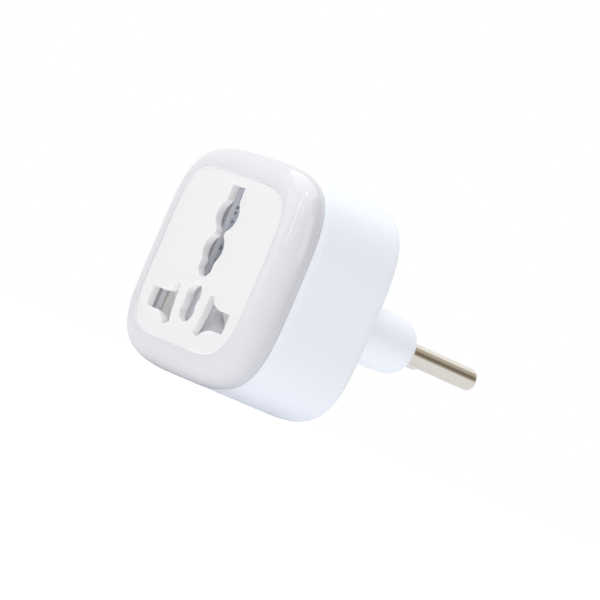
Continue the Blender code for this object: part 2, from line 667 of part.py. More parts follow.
def contact_carrier():
    """A block with a pocket for each contact and a centre well, between the walls that guide the shutters."""
    pocket_low, pocket_high = ROW_Z - POCKET_HALF, ROW_Z + POCKET_HALF
    block_x = (BLEND - SIDE_WALL_OUTER, SIDE_WALL_OUTER - BLEND)
    block_z = (pocket_low - BLOCK_WALL, pocket_high + BLOCK_WALL)
    carrier = box("contact_carrier", block_x, (BLOCK_FRONT, BLOCK_BACK), block_z, parts)
    for side in (-1, 1):
        add_side_wall(carrier, side, block_z)
        pocket_x = spread(side, CONTACT_INNER_X - CLEARANCE, CONTACT_OUTER_X + CLEARANCE)
        pocket_depth = (BLOCK_FRONT - THROUGH, BLOCK_BACK + THROUGH)
        combine(carrier, box("pocket", pocket_x, pocket_depth, (pocket_low, pocket_high), cutters))
    post_room = BOTTOM_POST_RADIUS + CLEARANCE
    notch_x = (BOTTOM_POST[0] - post_room, BOTTOM_POST[0] + post_room)
    notch_z = (block_z[0] - THROUGH, BOTTOM_POST[1] + post_room)
    notch_depth = (BLOCK_FRONT - THROUGH, BLOCK_BACK + THROUGH)
    combine(carrier, box("post_notch", notch_x, notch_depth, notch_z, cutters))
    well_depth = (PLATE_BACK + CLEARANCE, BLOCK_BACK - BLEND)
    well = sheet("well", [centre_slot(WELL_CLEARANCE + WELL_WALL)], *well_depth, cutters)
    combine(carrier, well, "UNION")
    through = (PLATE_BACK - THROUGH, BLOCK_BACK + THROUGH)
    combine(carrier, sheet("well_bore", [centre_slot(WELL_CLEARANCE)], *through, cutters))
    return finish(carrier, PLASTIC_INNER)


def add_side_wall(carrier, side, block_z):
    """A wall from the plate to the housing's rear wall, with the groove that a shutter's rail runs in."""
    stop = SHUTTER_BOTTOM - CLEARANCE
    top = SHUTTER_TOP + SHUTTER_TRAVEL + RAIL_OVER_TRAVEL
    wall_x = spread(side, SIDE_WALL_INNER, SIDE_WALL_OUTER)
    front, back = PLATE_BACK + CLEARANCE, FLOOR_Y - CLEARANCE
    rail = box("rail", wall_x, (front, BLOCK_FRONT + 2 * BLEND), (stop - RAIL_STOP_WALL, top), cutters)
    combine(carrier, rail, "UNION")
    leg_z = (block_z[0] + BLEND, block_z[1] - BLEND)
    combine(carrier, box("leg", wall_x, (BLOCK_FRONT + BLEND, back), leg_z, cutters), "UNION")
    groove_x = spread(side, SIDE_WALL_INNER - THROUGH, SHUTTER_OUTER_X + RAIL_DEPTH + CLEARANCE)
    groove_depth = (front - THROUGH, SHUTTER_WALL_BACK + CLEARANCE)
    combine(carrier, box("groove", groove_x, groove_depth, (stop, top + THROUGH), cutters))


# ---------------------------------------------------------------- pins and contacts


def mains_pin(name, side):
    """Turned from the flange inside the housing to the rounded tip, with a tapped hole in its inner end."""
    tip = BOSS_END + PIN_LENGTH
    tap_end = PIN_INNER_END + PIN_TAP_DEPTH
    profile = [(0, tap_end), (PIN_TAP_RADIUS, tap_end - PIN_TAP_CONE)]
    profile += [(PIN_TAP_RADIUS, PIN_INNER_END), (PIN_FLANGE_RADIUS, PIN_INNER_END)]
    profile += [(PIN_FLANGE_RADIUS, FLANGE_SEAT), (PIN_RADIUS, FLANGE_SEAT)]
    round_middle = (PIN_RADIUS - PIN_TIP_ROUNDING, tip - PIN_TIP_ROUNDING)
    profile += arc(round_middle, PIN_TIP_ROUNDING, 0, pi / 2, 5) + [(0, tip)]
    return finish(turned(name, side * PIN_X, PIN_Z, profile, parts), NICKEL, 40)


def contact(name, side):
    """Two flared leaves of folded strip, with a tall tab that lies against the end of the pin."""
    left, right = spread(side, CONTACT_INNER_X, CONTACT_OUTER_X)
    inner = CONTACT_GAP / 2
    tab_x = (side * PIN_X - TAB_WIDTH / 2, side * PIN_X + TAB_WIDTH / 2)
    tab_top = PIN_Z + TAB_WIDTH / 2
    back_z = (ROW_Z - inner - STRIP, ROW_Z + inner + STRIP)
    clip = box(name, (left, right), (TAB_FRONT, TAB_BACK), back_z, parts)
    tab = box("tab", tab_x, (TAB_FRONT, TAB_BACK), (ROW_Z, tab_top), cutters)
    combine(clip, tab, "UNION")
    for way in (-1, 1):
        combine(clip, leaf(way, left, right, inner), "UNION")
    notch_x = spread(side, FLAT_BLADE_X - FLAT_BLADE_NOTCH / 2, FLAT_BLADE_X + FLAT_BLADE_NOTCH / 2)
    notch_depth = (CONTACT_MOUTH - THROUGH, CONTACT_MOUTH + FLAT_BLADE_NOTCH_DEPTH)
    notch_z = (ROW_Z - POCKET_HALF - THROUGH, ROW_Z + POCKET_HALF + THROUGH)
    combine(clip, box("notch", notch_x, notch_depth, notch_z, cutters))
    hole_depth = (TAB_FRONT - THROUGH, TAB_BACK + THROUGH)
    combine(clip, rod("hole", side * PIN_X, hole_depth, PIN_Z, PIN_TAP_RADIUS, cutters))
    return finish(clip, BRASS)


def leaf(way, left, right, inner):
    """One leaf of a contact, flared at its mouth. way is 1 for the upper leaf and -1 for the lower."""
    rows = [
        (CONTACT_MOUTH, inner + CONTACT_FLARE),
        (CONTACT_MOUTH + CONTACT_FLARE_RUN, inner),
        (TAB_FRONT + STRIP / 2, inner),
        (TAB_FRONT + STRIP / 2, inner + STRIP),
        (CONTACT_MOUTH + CONTACT_FLARE_RUN, inner + STRIP),
        (CONTACT_MOUTH, inner + CONTACT_FLARE + STRIP),
    ]
    return extruded_side("leaf", left, right, [(depth, ROW_Z + way * z) for depth, z in rows], cutters)


def extruded_side(name, left, right, outline, collection):
    """A block whose side outline is given as (depth, height) and which runs from left to right."""
    mesh = bmesh.new()
    face = mesh.faces.new([mesh.verts.new(place(left, depth, height)) for depth, height in outline])
    grown = bmesh.ops.extrude_face_region(mesh, geom=[face])["geom"]
    moved = [item for item in grown if isinstance(item, bmesh.types.BMVert)]
    bmesh.ops.translate(mesh, verts=moved, vec=(right - left, 0, 0))
    bmesh.ops.recalc_face_normals(mesh, faces=mesh.faces)
    data = bpy.data.meshes.new(name)
    mesh.to_mesh(data)
    mesh.free()
    return as_object(name, data, collection)


# ---------------------------------------------------------------- shutters and springs


def shutter(name, side):
    """A ramped plate that closes a blade slot, guided by the rail on its outer wall."""
    plate = [
        (SHUTTER_FRONT, SHUTTER_TOP),
        (SHUTTER_FRONT, SHUTTER_RAMP_TOP),
        (SHUTTER_FOOT, SHUTTER_BOTTOM),
        (SHUTTER_BACK, SHUTTER_BOTTOM),
        (SHUTTER_WALL_BACK, SHUTTER_RAMP_TOP),
        (SHUTTER_WALL_BACK, SHUTTER_TOP),
    ]
    made = extruded_side(name, *spread(side, SHUTTER_INNER_X, SHUTTER_OUTER_X), plate, parts)
    sunk_front = SHUTTER_FRONT + BLEND / 2
    cheek = [
        (sunk_front, SHUTTER_TOP - BLEND),
        (sunk_front, SHUTTER_BOTTOM + BLEND),
        (SHUTTER_FOOT + SHUTTER_WALL / 3, SHUTTER_BOTTOM + BLEND),
        (SHUTTER_WALL_BACK - SHUTTER_WALL / 4, SHUTTER_RAMP_TOP),
    ]
    cheek_x = spread(side, SHUTTER_OUTER_X - SHUTTER_CHEEK, SHUTTER_OUTER_X - BLEND / 2)
    combine(made, extruded_side("cheek", *cheek_x, cheek, cutters), "UNION")
    rail_x = spread(side, SHUTTER_OUTER_X - SHUTTER_CHEEK / 2, SHUTTER_OUTER_X + RAIL_DEPTH)
    rail_depth = (SHUTTER_FRONT + BLEND / 4, SHUTTER_WALL_BACK - BLEND)
    rail_z = (SHUTTER_BOTTOM + BLEND / 2, SHUTTER_TOP - BLEND / 2)
    combine(made, box("shutter_rail", rail_x, rail_depth, rail_z, cutters), "UNION")
    lug_x = (side * SPRING_X - SPRING_ROOM, side * SPRING_X + SPRING_ROOM)
    lug_depth = (SHUTTER_WALL_BACK - SHUTTER_WALL / 2, SPRING_Y + SPRING_ROOM)
    lug_z = (SHUTTER_TOP - SPRING_LUG_THICKNESS, SHUTTER_TOP)
    combine(made, box("lug", lug_x, lug_depth, lug_z, cutters), "UNION")
    peg_z = (SHUTTER_TOP - SPRING_LUG_THICKNESS / 2, SHUTTER_TOP + PEG_LENGTH)
    peg = rod("peg", side * SPRING_X, SPRING_Y, peg_z, PEG_RADIUS, cutters, along="Z", steps=FINE_STEPS)
    combine(made, peg, "UNION")
    return finish(made, PLASTIC_INNER)


def shutter_spring(name, side):
    """A coil between the shutter's lug and the carrier's stop."""
    low = SHUTTER_TOP + CLEARANCE + SPRING_WIRE
    high = SPRING_STOP_Z - CLEARANCE - SPRING_WIRE
    count = SPRING_TURNS * SPRING_TURN_POINTS
    curve = bpy.data.curves.new(name, "CURVE")
    curve.dimensions = "3D"
    curve.bevel_depth = SPRING_WIRE
    curve.bevel_resolution = 1
    curve.use_fill_caps = True
    spline = curve.splines.new("POLY")
    spline.points.add(count)
    for index, point in enumerate(spline.points):
        angle = 2 * pi * index / SPRING_TURN_POINTS
        share = index / count
        spot = place(
            side * SPRING_X + SPRING_RADIUS * cos(angle),
            SPRING_Y + SPRING_RADIUS * sin(angle),
            low + (high - low) * share,
        )
        point.co = (*spot, 1)
    guide = bpy.data.objects.new(name + "_path", curve)
    bpy.context.scene.collection.objects.link(guide)
    return finish(mesh_from(guide, name, parts), STEEL, 60)


# ---------------------------------------------------------------- fasteners


def pan_screw(name, x, z, seat, head_radius, shank_radius, length):
    """A pan-head screw with a cross recess. Its head stands in front of seat, its shank runs behind."""
    face = seat - SCREW_HEAD_HEIGHT
    end = seat + length
    profile = [(0, face), (head_radius * SCREW_FACE_SHARE, face)]
    profile += [(head_radius - SCREW_CHAMFER, face + SCREW_CHAMFER)]
    profile += [(head_radius, face + SCREW_HEAD_HEIGHT / 2), (head_radius, seat), (shank_radius, seat)]
    profile += [(shank_radius, end - shank_radius), (SCREW_CHAMFER, end), (0, end)]
    screw = turned(name, x, z, profile, parts, steps=FINE_STEPS)
    arm, blade = head_radius * RECESS_ARM_SHARE, head_radius * RECESS_BLADE_SHARE
    depth = (face - THROUGH, face + SCREW_HEAD_HEIGHT * RECESS_DEPTH_SHARE)
    combine(screw, box("slot_a", (x - arm, x + arm), depth, (z - blade, z + blade), cutters))
    combine(screw, box("slot_b", (x - blade, x + blade), depth, (z - arm, z + arm), cutters))
    return finish(screw, STEEL)


def lock_washer(name, side):
    """A split ring under a terminal screw's head."""
    middle = side * PIN_X
    inner = TERMINAL_SHANK_RADIUS + CLEARANCE
    edges = (TERMINAL_HEAD_RADIUS, inner)
    loops = [arc((middle, PIN_Z), radius, 0, 2 * pi, ROUND_STEPS)[:-1] for radius in edges]
    washer = sheet(name, loops, WASHER_FRONT, WASHER_BACK, parts)
    split_x = (middle - WASHER_SPLIT / 2, middle + WASHER_SPLIT / 2)
    split_z = (PIN_Z + inner / 2, PIN_Z + TERMINAL_HEAD_RADIUS + THROUGH)
    depth = (WASHER_FRONT - THROUGH, WASHER_BACK + THROUGH)
    combine(washer, box("split", split_x, depth, split_z, cutters))
    return finish(washer, STEEL)


def main():
    global parts, cutters
    clear_scene()
    parts = new_collection("universal_travel_adapter")
    cutters = new_collection("cutters")
    socket_panel()
    bezel()
    rear_housing()
    shutter_plate()
    contact_carrier()
    for word, side in (("line", 1), ("neutral", -1)):
        mains_pin(word + "_pin", side)
        contact(word + "_contact", side)
        shutter(word + "_shutter", side)
        shutter_spring(word + "_shutter_spring", side)
        sizes = (TERMINAL_HEAD_RADIUS, TERMINAL_SHANK_RADIUS, TERMINAL_SCREW_LENGTH)
        pan_screw(word + "_terminal_screw", side * PIN_X, PIN_Z, TERMINAL_HEAD_BACK, *sizes)
        lock_washer(word + "_lock_washer", side)
    seats = ((-TOP_POST[0], TOP_POST[1]), TOP_POST, BOTTOM_POST)
    for number, (x, z) in enumerate(seats, 1):
        sizes = (SCREW_HEAD_RADIUS, SCREW_SHANK_RADIUS, CARRIER_SCREW_LENGTH)
        pan_screw(f"carrier_screw_{number}", x, z, CUP_SEAT - CLEARANCE, *sizes)


main()
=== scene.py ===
"""Looks of a universal travel adapter: white casing, slotted panel, nickel pins, brass and steel inside.

Metres, in the frame's own axes: the panel faces -Y, the pins point along +Y, +Z is up. Outlines are drawn
as (x, z) from the middle of the panel, and depths run from the panel's face towards the pins.
"""

from math import atan2, cos, pi, radians, sin, sqrt

import bmesh
import bpy
from mathutils import Matrix, Vector


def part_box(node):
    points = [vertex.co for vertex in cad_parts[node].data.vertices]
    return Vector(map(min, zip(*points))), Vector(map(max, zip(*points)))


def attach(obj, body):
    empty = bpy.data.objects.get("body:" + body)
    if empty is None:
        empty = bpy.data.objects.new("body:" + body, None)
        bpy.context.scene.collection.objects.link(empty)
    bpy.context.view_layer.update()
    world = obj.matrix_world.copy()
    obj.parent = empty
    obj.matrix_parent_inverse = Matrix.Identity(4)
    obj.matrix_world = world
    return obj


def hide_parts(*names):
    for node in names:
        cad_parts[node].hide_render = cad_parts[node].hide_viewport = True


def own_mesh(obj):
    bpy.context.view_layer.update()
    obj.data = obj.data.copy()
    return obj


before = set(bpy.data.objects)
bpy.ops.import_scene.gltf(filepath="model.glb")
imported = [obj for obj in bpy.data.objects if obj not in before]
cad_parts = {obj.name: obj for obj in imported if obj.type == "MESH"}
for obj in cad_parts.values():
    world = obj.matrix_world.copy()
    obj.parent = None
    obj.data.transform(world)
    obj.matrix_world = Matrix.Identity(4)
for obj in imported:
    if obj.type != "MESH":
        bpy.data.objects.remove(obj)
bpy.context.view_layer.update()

MM = 0.001

# ---- sizes and places that come from the frame ----
panel_low, panel_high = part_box("socket_panel")
bezel_low, bezel_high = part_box("bezel")
housing_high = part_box("rear_housing")[1]
pin_low, pin_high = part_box("line_pin")
FACE_Y = panel_low.y
MID_Z = (bezel_low.z + bezel_high.z) / 2
BODY_HALF = (bezel_high.x - bezel_low.x) / 2
BEZEL_PROUD = FACE_Y - bezel_low.y
TONGUE_END = bezel_high.y - FACE_Y
BOSS_END = housing_high.y - FACE_Y
PIN_X = (pin_low.x + pin_high.x) / 2
PIN_Z = (pin_low.z + pin_high.z) / 2 - MID_Z
PIN_FLANGE_RADIUS = (pin_high.x - pin_low.x) / 2
PIN_INNER_END = pin_low.y - FACE_Y
PIN_TIP = pin_high.y - FACE_Y
FLANGE_BACK = panel_high.y - FACE_Y
FLANGE_HALF = (panel_high.x - panel_low.x) / 2

# ---- casing ----
BODY_SQUARENESS = 3.8
PANEL_SQUARENESS = 4.8
ROUND = 2.0  # the squareness that makes a circle
BODY_DEPTH = 28.0 * MM
REAR_ROUNDING = 2.7 * MM
REAR_WALL = 2.0 * MM
HOUSING_WALL = 2.0 * MM
BEZEL_DEPTH = 6.4 * MM
BEZEL_REAR_TUCK = 0.3 * MM
JOINT_GAP = 0.06 * MM
JOINT_ROUNDING = 0.25 * MM
TONGUE_WALL = 1.1 * MM
CLEARANCE = 0.3 * MM
BOSS_HALF_HEIGHT = 6.15 * MM
BOSS_ROUNDING = 4.6 * MM
BOSS_ROOT_FILLET = 0.5 * MM
REAR_TUCK_RUN = 1.6 * MM
PIN_BORE_GAP = 0.07 * MM
PIN_BORE_LEAD_IN = 0.2 * MM

# ---- panel ----
PANEL_HALF = 18.14 * MM
PANEL_THICKNESS = 1.8 * MM
PANEL_EDGE = 0.12 * MM
LIP_HALF = 18.21 * MM
LIP_ROUNDING = 0.2 * MM
FLANGE_INNER_HALF = 16.8 * MM
FLANGE_FRONT = 1.5 * MM
ROW_Z = -10.8 * MM
BLADE_HALF = 2.13 * MM
BLADE_OUTER_X = 14.27 * MM
BLADE_FLAT_X = 10.9 * MM
EARTH_TOP_Z = 16.0 * MM
EARTH_HALF = 2.25 * MM
EARTH_CIRCLES = ((9.75 * MM, 3.68 * MM), (2.4 * MM, 3.35 * MM), (-1.2 * MM, 2.42 * MM))
EARTH_FILLET = 1.0 * MM
CENTRE_Z = -9.23 * MM
CENTRE_RADIUS = 2.45 * MM
CENTRE_HALF_RUN = 1.7 * MM
CENTRE_FILLET = 3.0 * MM

# ---- pins ----
PIN_RADIUS = 2.4 * MM
PIN_TIP_ROUNDING = 1.1 * MM
PIN_TAP_RADIUS = 1.6 * MM
PIN_TAP_DEPTH = 8.0 * MM
PIN_FLANGE_THICKNESS = 1.5 * MM
PIN_EDGE = 0.12 * MM

# ---- inner pieces ----
MOULDED_EDGE = 0.12 * MM
CONTACT_EDGE = 0.08 * MM
WASHER_EDGE = 0.06 * MM
SPRING_WIRE_RADIUS = 0.2 * MM
SCREW_HEAD_HEIGHT = 1.5 * MM
SCREW_CROWN = 0.03 * MM
TERMINAL_SCREW = (1.3 * MM, 0.5 * MM)  # shank radius, pitch
CARRIER_SCREW = (1.0 * MM, 0.7 * MM)

# ---- fineness: points that go round an outline ----
AROUND_CASING = 320
AROUND_BOSS = 192
AROUND_INSIDE = 160
AROUND_PIN = 96
AROUND_BORE = 64
AROUND_SCREW = 48
THREAD_POINTS = 8  # along one turn of a thread
SAME_POINT = 0.0005 * MM

# ---- view ----
VIEW_AZIMUTH = 54.217
VIEW_ELEVATION = -0.777
VIEW_ROLL = 23.074
VIEW_DISTANCE = 781.733 * MM
VIEW_LENS = 231.773
VIEW_SENSOR = 36.0
VIEW_TARGET_DEPTH = 20.0 * MM
VIEW_TARGET_Z = -10.79 * MM
VIEW_TURN = (-0.622, -0.570)  # small turns about the picture's own axes, in degrees

# ---- studio ----
AMBIENT = 0.765  # what the white surroundings give the object, out of 1
FLOOR_GLOW = 0.58  # lifts what the camera sees of the floor to white
FLOOR_SHEEN = 0.2  # the same for what metal and gloss see of it
FLOOR_HALF = 3.0
FLOOR_COLOUR = (0.62, 0.62, 0.63, 1)
FILL_SPREAD = 5  # degrees
# dark cards on the pins' side: direction, cosines of the outer and inner edge, colour
GREY_FLAG = ((0.60, 0.6, 0.50), 0.78, 0.83, (0.52, 0.47, 0.38, 1))
DARK_FLAG = ((0.70, 0.585, 0.41), 0.95, 0.98, (0.22, 0.185, 0.145, 1))


def at(x, depth, height):
    return Vector((x, FACE_Y + depth, MID_Z + height))


# ---------------------------------------------------------------- node trees


class Tree:
    """Adds nodes to a node tree and links them in one go."""

    def __init__(self, tree):
        self.tree = tree

    def add(self, kind, inputs=None, **settings):
        node = self.tree.nodes.new(kind)
        for key, value in settings.items():
            setattr(node, key, value)
        for key, value in (inputs or {}).items():
            self.give(node.inputs[key], value)
        return node

    def give(self, socket, value):
        if isinstance(value, bpy.types.NodeSocket):
            self.tree.links.new(value, socket)
        else:
            socket.default_value = value

    def math(self, operation, *values):
        node = self.add("ShaderNodeMath", operation=operation)
        for socket, value in zip(node.inputs, values):
            self.give(socket, value)
        return node.outputs[0]

    def mix(self, factor, first, second):
        """The colour that lies between two colours."""
        node = self.add("ShaderNodeMix", data_type="RGBA")
        for label, value in (("Factor", factor), ("A", first), ("B", second)):
            self.give(node.inputs[label], value)
        return node.outputs["Result"]

    def noise(self, place, scale, detail, roughness):
        inputs = {"Vector": place, "Scale": scale, "Detail": detail, "Roughness": roughness}
        return self.add("ShaderNodeTexNoise", inputs).outputs["Fac"]


def new_group(name, kind, inputs, outputs):
    """A node group with named sockets: inputs and outputs hold (name, socket type, value or None)."""
    tree = bpy.data.node_groups.new(name, kind)
    for direction, sockets in (("INPUT", inputs), ("OUTPUT", outputs)):
        for label, socket_type, value in sockets:
            socket = tree.interface.new_socket(label, in_out=direction, socket_type=socket_type)
            if value is not None:
                socket.default_value = value
    return tree


def end_shape(g, geometry, finish):
    """Ends a geometry tree with real faces that have their material."""
    real = g.add("GeometryNodeRealizeInstances", {"Geometry": geometry})
    coloured = g.add("GeometryNodeSetMaterial", {"Geometry": real.outputs[0], "Material": finish})
    g.give(g.add("NodeGroupOutput").inputs["Shape"], coloured.outputs[0])


def outline_loft():
    """Geometry tree: carries a line of points (half size, depth) round a rounded square or a stadium.

    Each point has its own squareness and its own share of the screw thread."""
    tree = new_group(
        "outline_loft",
        "GeometryNodeTree",
        [
            ("Profile", "NodeSocketGeometry", None),
            ("Around", "NodeSocketInt", 128),
            ("Half Run", "NodeSocketFloat", 0.0),
            ("Centre", "NodeSocketVector", None),
            ("Thread Pitch", "NodeSocketFloat", 0.5 * MM),
            ("Thread Depth", "NodeSocketFloat", 0.0),
            ("Finish", "NodeSocketMaterial", None),
        ],
        [("Shape", "NodeSocketGeometry", None)],
    )
    g = Tree(tree)
    given = g.add("NodeGroupInput").outputs
    columns = g.math("ADD", given["Around"], 1.0)
    size = g.add("GeometryNodeAttributeDomainSize", {"Geometry": given["Profile"]}, component="MESH")
    rows = size.outputs["Point Count"]
    grid = g.add("GeometryNodeMeshGrid", {"Vertices X": rows, "Vertices Y": columns})
    index = g.add("GeometryNodeInputIndex").outputs[0]
    row = g.math("FLOOR", g.math("DIVIDE", g.math("ADD", index, 0.5), columns))
    column = g.math("SUBTRACT", index, g.math("MULTIPLY", row, columns))

    def sampled(value, data_type):
        node = g.add("GeometryNodeSampleIndex", data_type=data_type, domain="POINT")
        g.give(node.inputs["Geometry"], given["Profile"])
        g.give(node.inputs["Value"], value)
        g.give(node.inputs["Index"], row)
        return node.outputs["Value"]

    def attribute(name):
        node = g.add("GeometryNodeInputNamedAttribute", {"Name": name}, data_type="FLOAT")
        return sampled(node.outputs["Attribute"], "FLOAT")

    position = g.add("GeometryNodeInputPosition").outputs[0]
    half_size, depth = g.add("ShaderNodeSeparateXYZ", {0: sampled(position, "FLOAT_VECTOR")}).outputs[:2]
    squareness = attribute("squareness")
    angle = g.math("MULTIPLY", g.math("ADD", column, 0.5), g.math("DIVIDE", 2 * pi, given["Around"]))
    across, upward = g.math("COSINE", angle), g.math("SINE", angle)
    sides = [g.math("POWER", g.math("ABSOLUTE", side), squareness) for side in (across, upward)]
    bulge = g.math("POWER", g.math("ADD", *sides), g.math("DIVIDE", 1.0, squareness))
    advance = g.math("DIVIDE", g.math("MULTIPLY", depth, 2 * pi), given["Thread Pitch"])
    thread = g.math("MULTIPLY", given["Thread Depth"], attribute("thread"))
    wave = g.math("MULTIPLY", g.math("COSINE", g.math("SUBTRACT", angle, advance)), thread)
    radius = g.math("DIVIDE", g.math("ADD", half_size, wave), bulge)
    run = g.math("MULTIPLY", g.math("SIGN", across), given["Half Run"])
    x = g.math("MULTIPLY_ADD", radius, across, run)
    z = g.math("MULTIPLY", radius, upward)
    local = g.add("ShaderNodeCombineXYZ", {0: x, 1: depth, 2: z}).outputs[0]
    placed = g.add("ShaderNodeVectorMath", {0: local, 1: given["Centre"]}, operation="ADD").outputs[0]
    shape = g.add("GeometryNodeSetPosition", {"Geometry": grid.outputs["Mesh"], "Position": placed})
    closed = g.add("GeometryNodeMergeByDistance", {"Geometry": shape.outputs[0], "Distance": SAME_POINT})
    end_shape(g, closed.outputs[0], given["Finish"])
    return tree


def coil_tree():
    """Geometry tree: a compression spring along Z with closed ends."""
    tree = new_group(
        "coil_spring",
        "GeometryNodeTree",
        [
            ("Start", "NodeSocketGeometry", None),
            ("Turns", "NodeSocketFloat", 8.0),
            ("Coil Radius", "NodeSocketFloat", 1.45 * MM),
            ("Wire Radius", "NodeSocketFloat", SPRING_WIRE_RADIUS),
            ("Length", "NodeSocketFloat", 17 * MM),
            ("End Closing", "NodeSocketFloat", 0.085),
            ("Foot", "NodeSocketVector", None),
            ("Finish", "NodeSocketMaterial", None),
        ],
        [("Shape", "NodeSocketGeometry", None)],
    )
    g = Tree(tree)
    given = g.add("NodeGroupInput").outputs
    spiral = g.add(
        "GeometryNodeCurveSpiral",
        {
            "Resolution": 28,
            "Rotations": given["Turns"],
            "Start Radius": given["Coil Radius"],
            "End Radius": given["Coil Radius"],
            "Height": given["Length"],
        },
    )
    spot = g.add("ShaderNodeSeparateXYZ", {0: g.add("GeometryNodeInputPosition").outputs[0]})
    share = g.math("DIVIDE", spot.outputs[2], given["Length"])
    ease = g.math("SINE", g.math("MULTIPLY", share, 2 * pi))
    closing = g.math("MULTIPLY", ease, given["End Closing"])
    height = g.math("MULTIPLY", g.math("SUBTRACT", share, closing), given["Length"])
    local = g.add("ShaderNodeCombineXYZ", {0: spot.outputs[0], 1: spot.outputs[1], 2: height}).outputs[0]
    placed = g.add("ShaderNodeVectorMath", {0: local, 1: given["Foot"]}, operation="ADD").outputs[0]
    path = g.add("GeometryNodeSetPosition", {"Geometry": spiral.outputs[0], "Position": placed}).outputs[0]
    wire = g.add("GeometryNodeCurvePrimitiveCircle", {"Resolution": 12, "Radius": given["Wire Radius"]})
    sweep = {"Curve": path, "Profile Curve": wire.outputs[0], "Fill Caps": True}
    tube = g.add("GeometryNodeCurveToMesh", sweep)
    end_shape(g, tube.outputs[0], given["Finish"])
    return tree


# ---------------------------------------------------------------- shared finishes


def moulded_grain():
    """Shader group: the fine grain and slow flow shades of moulded plastic, and a painted shade towards its
    rear that stands in for the darker light where a face curves back.
    """
    tree = new_group(
        "moulded_grain",
        "ShaderNodeTree",
        [
            ("Colour", "NodeSocketColor", (0.9, 0.9, 0.9, 1)),
            ("Flow Shade", "NodeSocketColor", (0.85, 0.86, 0.9, 1)),
            ("Flow Amount", "NodeSocketFloat", 0.3),
            ("Flow Size", "NodeSocketFloat", 60.0),
            ("Grain Size", "NodeSocketFloat", 2500.0),
            ("Roughness", "NodeSocketFloat", 0.5),
            ("Roughness Change", "NodeSocketFloat", 0.05),
            ("Rear Painted Shade", "NodeSocketColor", (0.9, 0.9, 0.9, 1)),
            ("Painted Shade Amount", "NodeSocketFloat", 0.0),
            ("Rear Start", "NodeSocketFloat", FACE_Y),
            ("Rear End", "NodeSocketFloat", FACE_Y + MM),
        ],
        [
            ("Colour", "NodeSocketColor", None),
            ("Roughness", "NodeSocketFloat", None),
            ("Height", "NodeSocketFloat", None),
        ],
    )
    g = Tree(tree)
    given = g.add("NodeGroupInput").outputs
    place = g.add("ShaderNodeTexCoord").outputs["Object"]
    flow = g.noise(place, given["Flow Size"], 2.0, 0.4)
    mixed = g.mix(g.math("MULTIPLY", flow, given["Flow Amount"]), given["Colour"], given["Flow Shade"])
    depth = g.add("ShaderNodeSeparateXYZ", {0: place}).outputs[1]
    span = {"Value": depth, "From Min": given["Rear Start"], "From Max": given["Rear End"]}
    towards_rear = g.add("ShaderNodeMapRange", span).outputs["Result"]
    # painted shade: a darker colour mixed in towards the rear, standing in for the light falling off there
    shaded = g.mix(g.math("MULTIPLY", towards_rear, given["Painted Shade Amount"]), mixed, given["Rear Painted Shade"])
    smudge = g.math("SUBTRACT", flow, 0.5)
    out = g.add("NodeGroupOutput").inputs
    g.give(out["Colour"], shaded)
    g.give(out["Roughness"], g.math("MULTIPLY_ADD", smudge, given["Roughness Change"], given["Roughness"]))
    g.give(out["Height"], g.noise(place, given["Grain Size"], 3.0, 0.6))
    return tree


def worked_metal():
    """Shader group: fine tool or rolling lines along one direction, with a cloudy plating over them."""
    tree = new_group(
        "worked_metal",
        "ShaderNodeTree",
        [
            ("Colour", "NodeSocketColor", (0.7, 0.7, 0.7, 1)),
            ("Cloud Colour", "NodeSocketColor", (0.6, 0.55, 0.5, 1)),
            ("Cloud Amount", "NodeSocketFloat", 0.4),
            ("Line Stretch", "NodeSocketVector", (300, 9000, 300)),
            ("Roughness", "NodeSocketFloat", 0.2),
            ("Roughness Change", "NodeSocketFloat", 0.1),
        ],
        [
            ("Colour", "NodeSocketColor", None),
            ("Roughness", "NodeSocketFloat", None),
            ("Height", "NodeSocketFloat", None),
        ],
    )
    g = Tree(tree)
    given = g.add("NodeGroupInput").outputs
    place = g.add("ShaderNodeTexCoord").outputs["Object"]
    stretch = {0: place, 1: given["Line Stretch"]}
    stretched = g.add("ShaderNodeVectorMath", stretch, operation="MULTIPLY").outputs[0]
    lines = g.noise(stretched, 1.0, 2.0, 0.5)
    cloud = g.noise(place, 220.0, 4.0, 0.55)
    mixed = g.mix(g.math("MULTIPLY", cloud, given["Cloud Amount"]), given["Colour"], given["Cloud Colour"])
    blend = g.math("MULTIPLY_ADD", lines, 0.6, g.math("MULTIPLY", cloud, 0.4))
    uneven = g.math("SUBTRACT", blend, 0.5)
    out = g.add("NodeGroupOutput").inputs
    g.give(out["Colour"], mixed)
    g.give(out["Roughness"], g.math("MULTIPLY_ADD", uneven, given["Roughness Change"], given["Roughness"]))
    g.give(out["Height"], lines)
    return tree


def studio_flags():
    """Shader group: the two dark cards on the pins' side, told by a direction out of the studio's middle."""
    tree = new_group(
        "studio_flags",
        "ShaderNodeTree",
        [("Direction", "NodeSocketVector", None), ("Background", "NodeSocketColor", (1, 1, 1, 1))],
        [("Colour", "NodeSocketColor", None), ("Covered", "NodeSocketFloat", None)],
    )
    g = Tree(tree)
    given = g.add("NodeGroupInput").outputs
    colour, covered = given["Background"], 0.0
    for direction, outer, inner, shade in (GREY_FLAG, DARK_FLAG):
        facing = {0: given["Direction"], 1: Vector(direction).normalized()}
        along = g.add("ShaderNodeVectorMath", facing, operation="DOT_PRODUCT").outputs["Value"]
        edge = {"Value": along, "From Min": outer, "From Max": inner}
        share = g.add("ShaderNodeMapRange", edge).outputs["Result"]
        colour = g.mix(share, colour, shade)
        covered = g.math("MAXIMUM", covered, share)
    out = g.add("NodeGroupOutput").inputs
    g.give(out["Colour"], colour)
    g.give(out["Covered"], covered)
    return tree


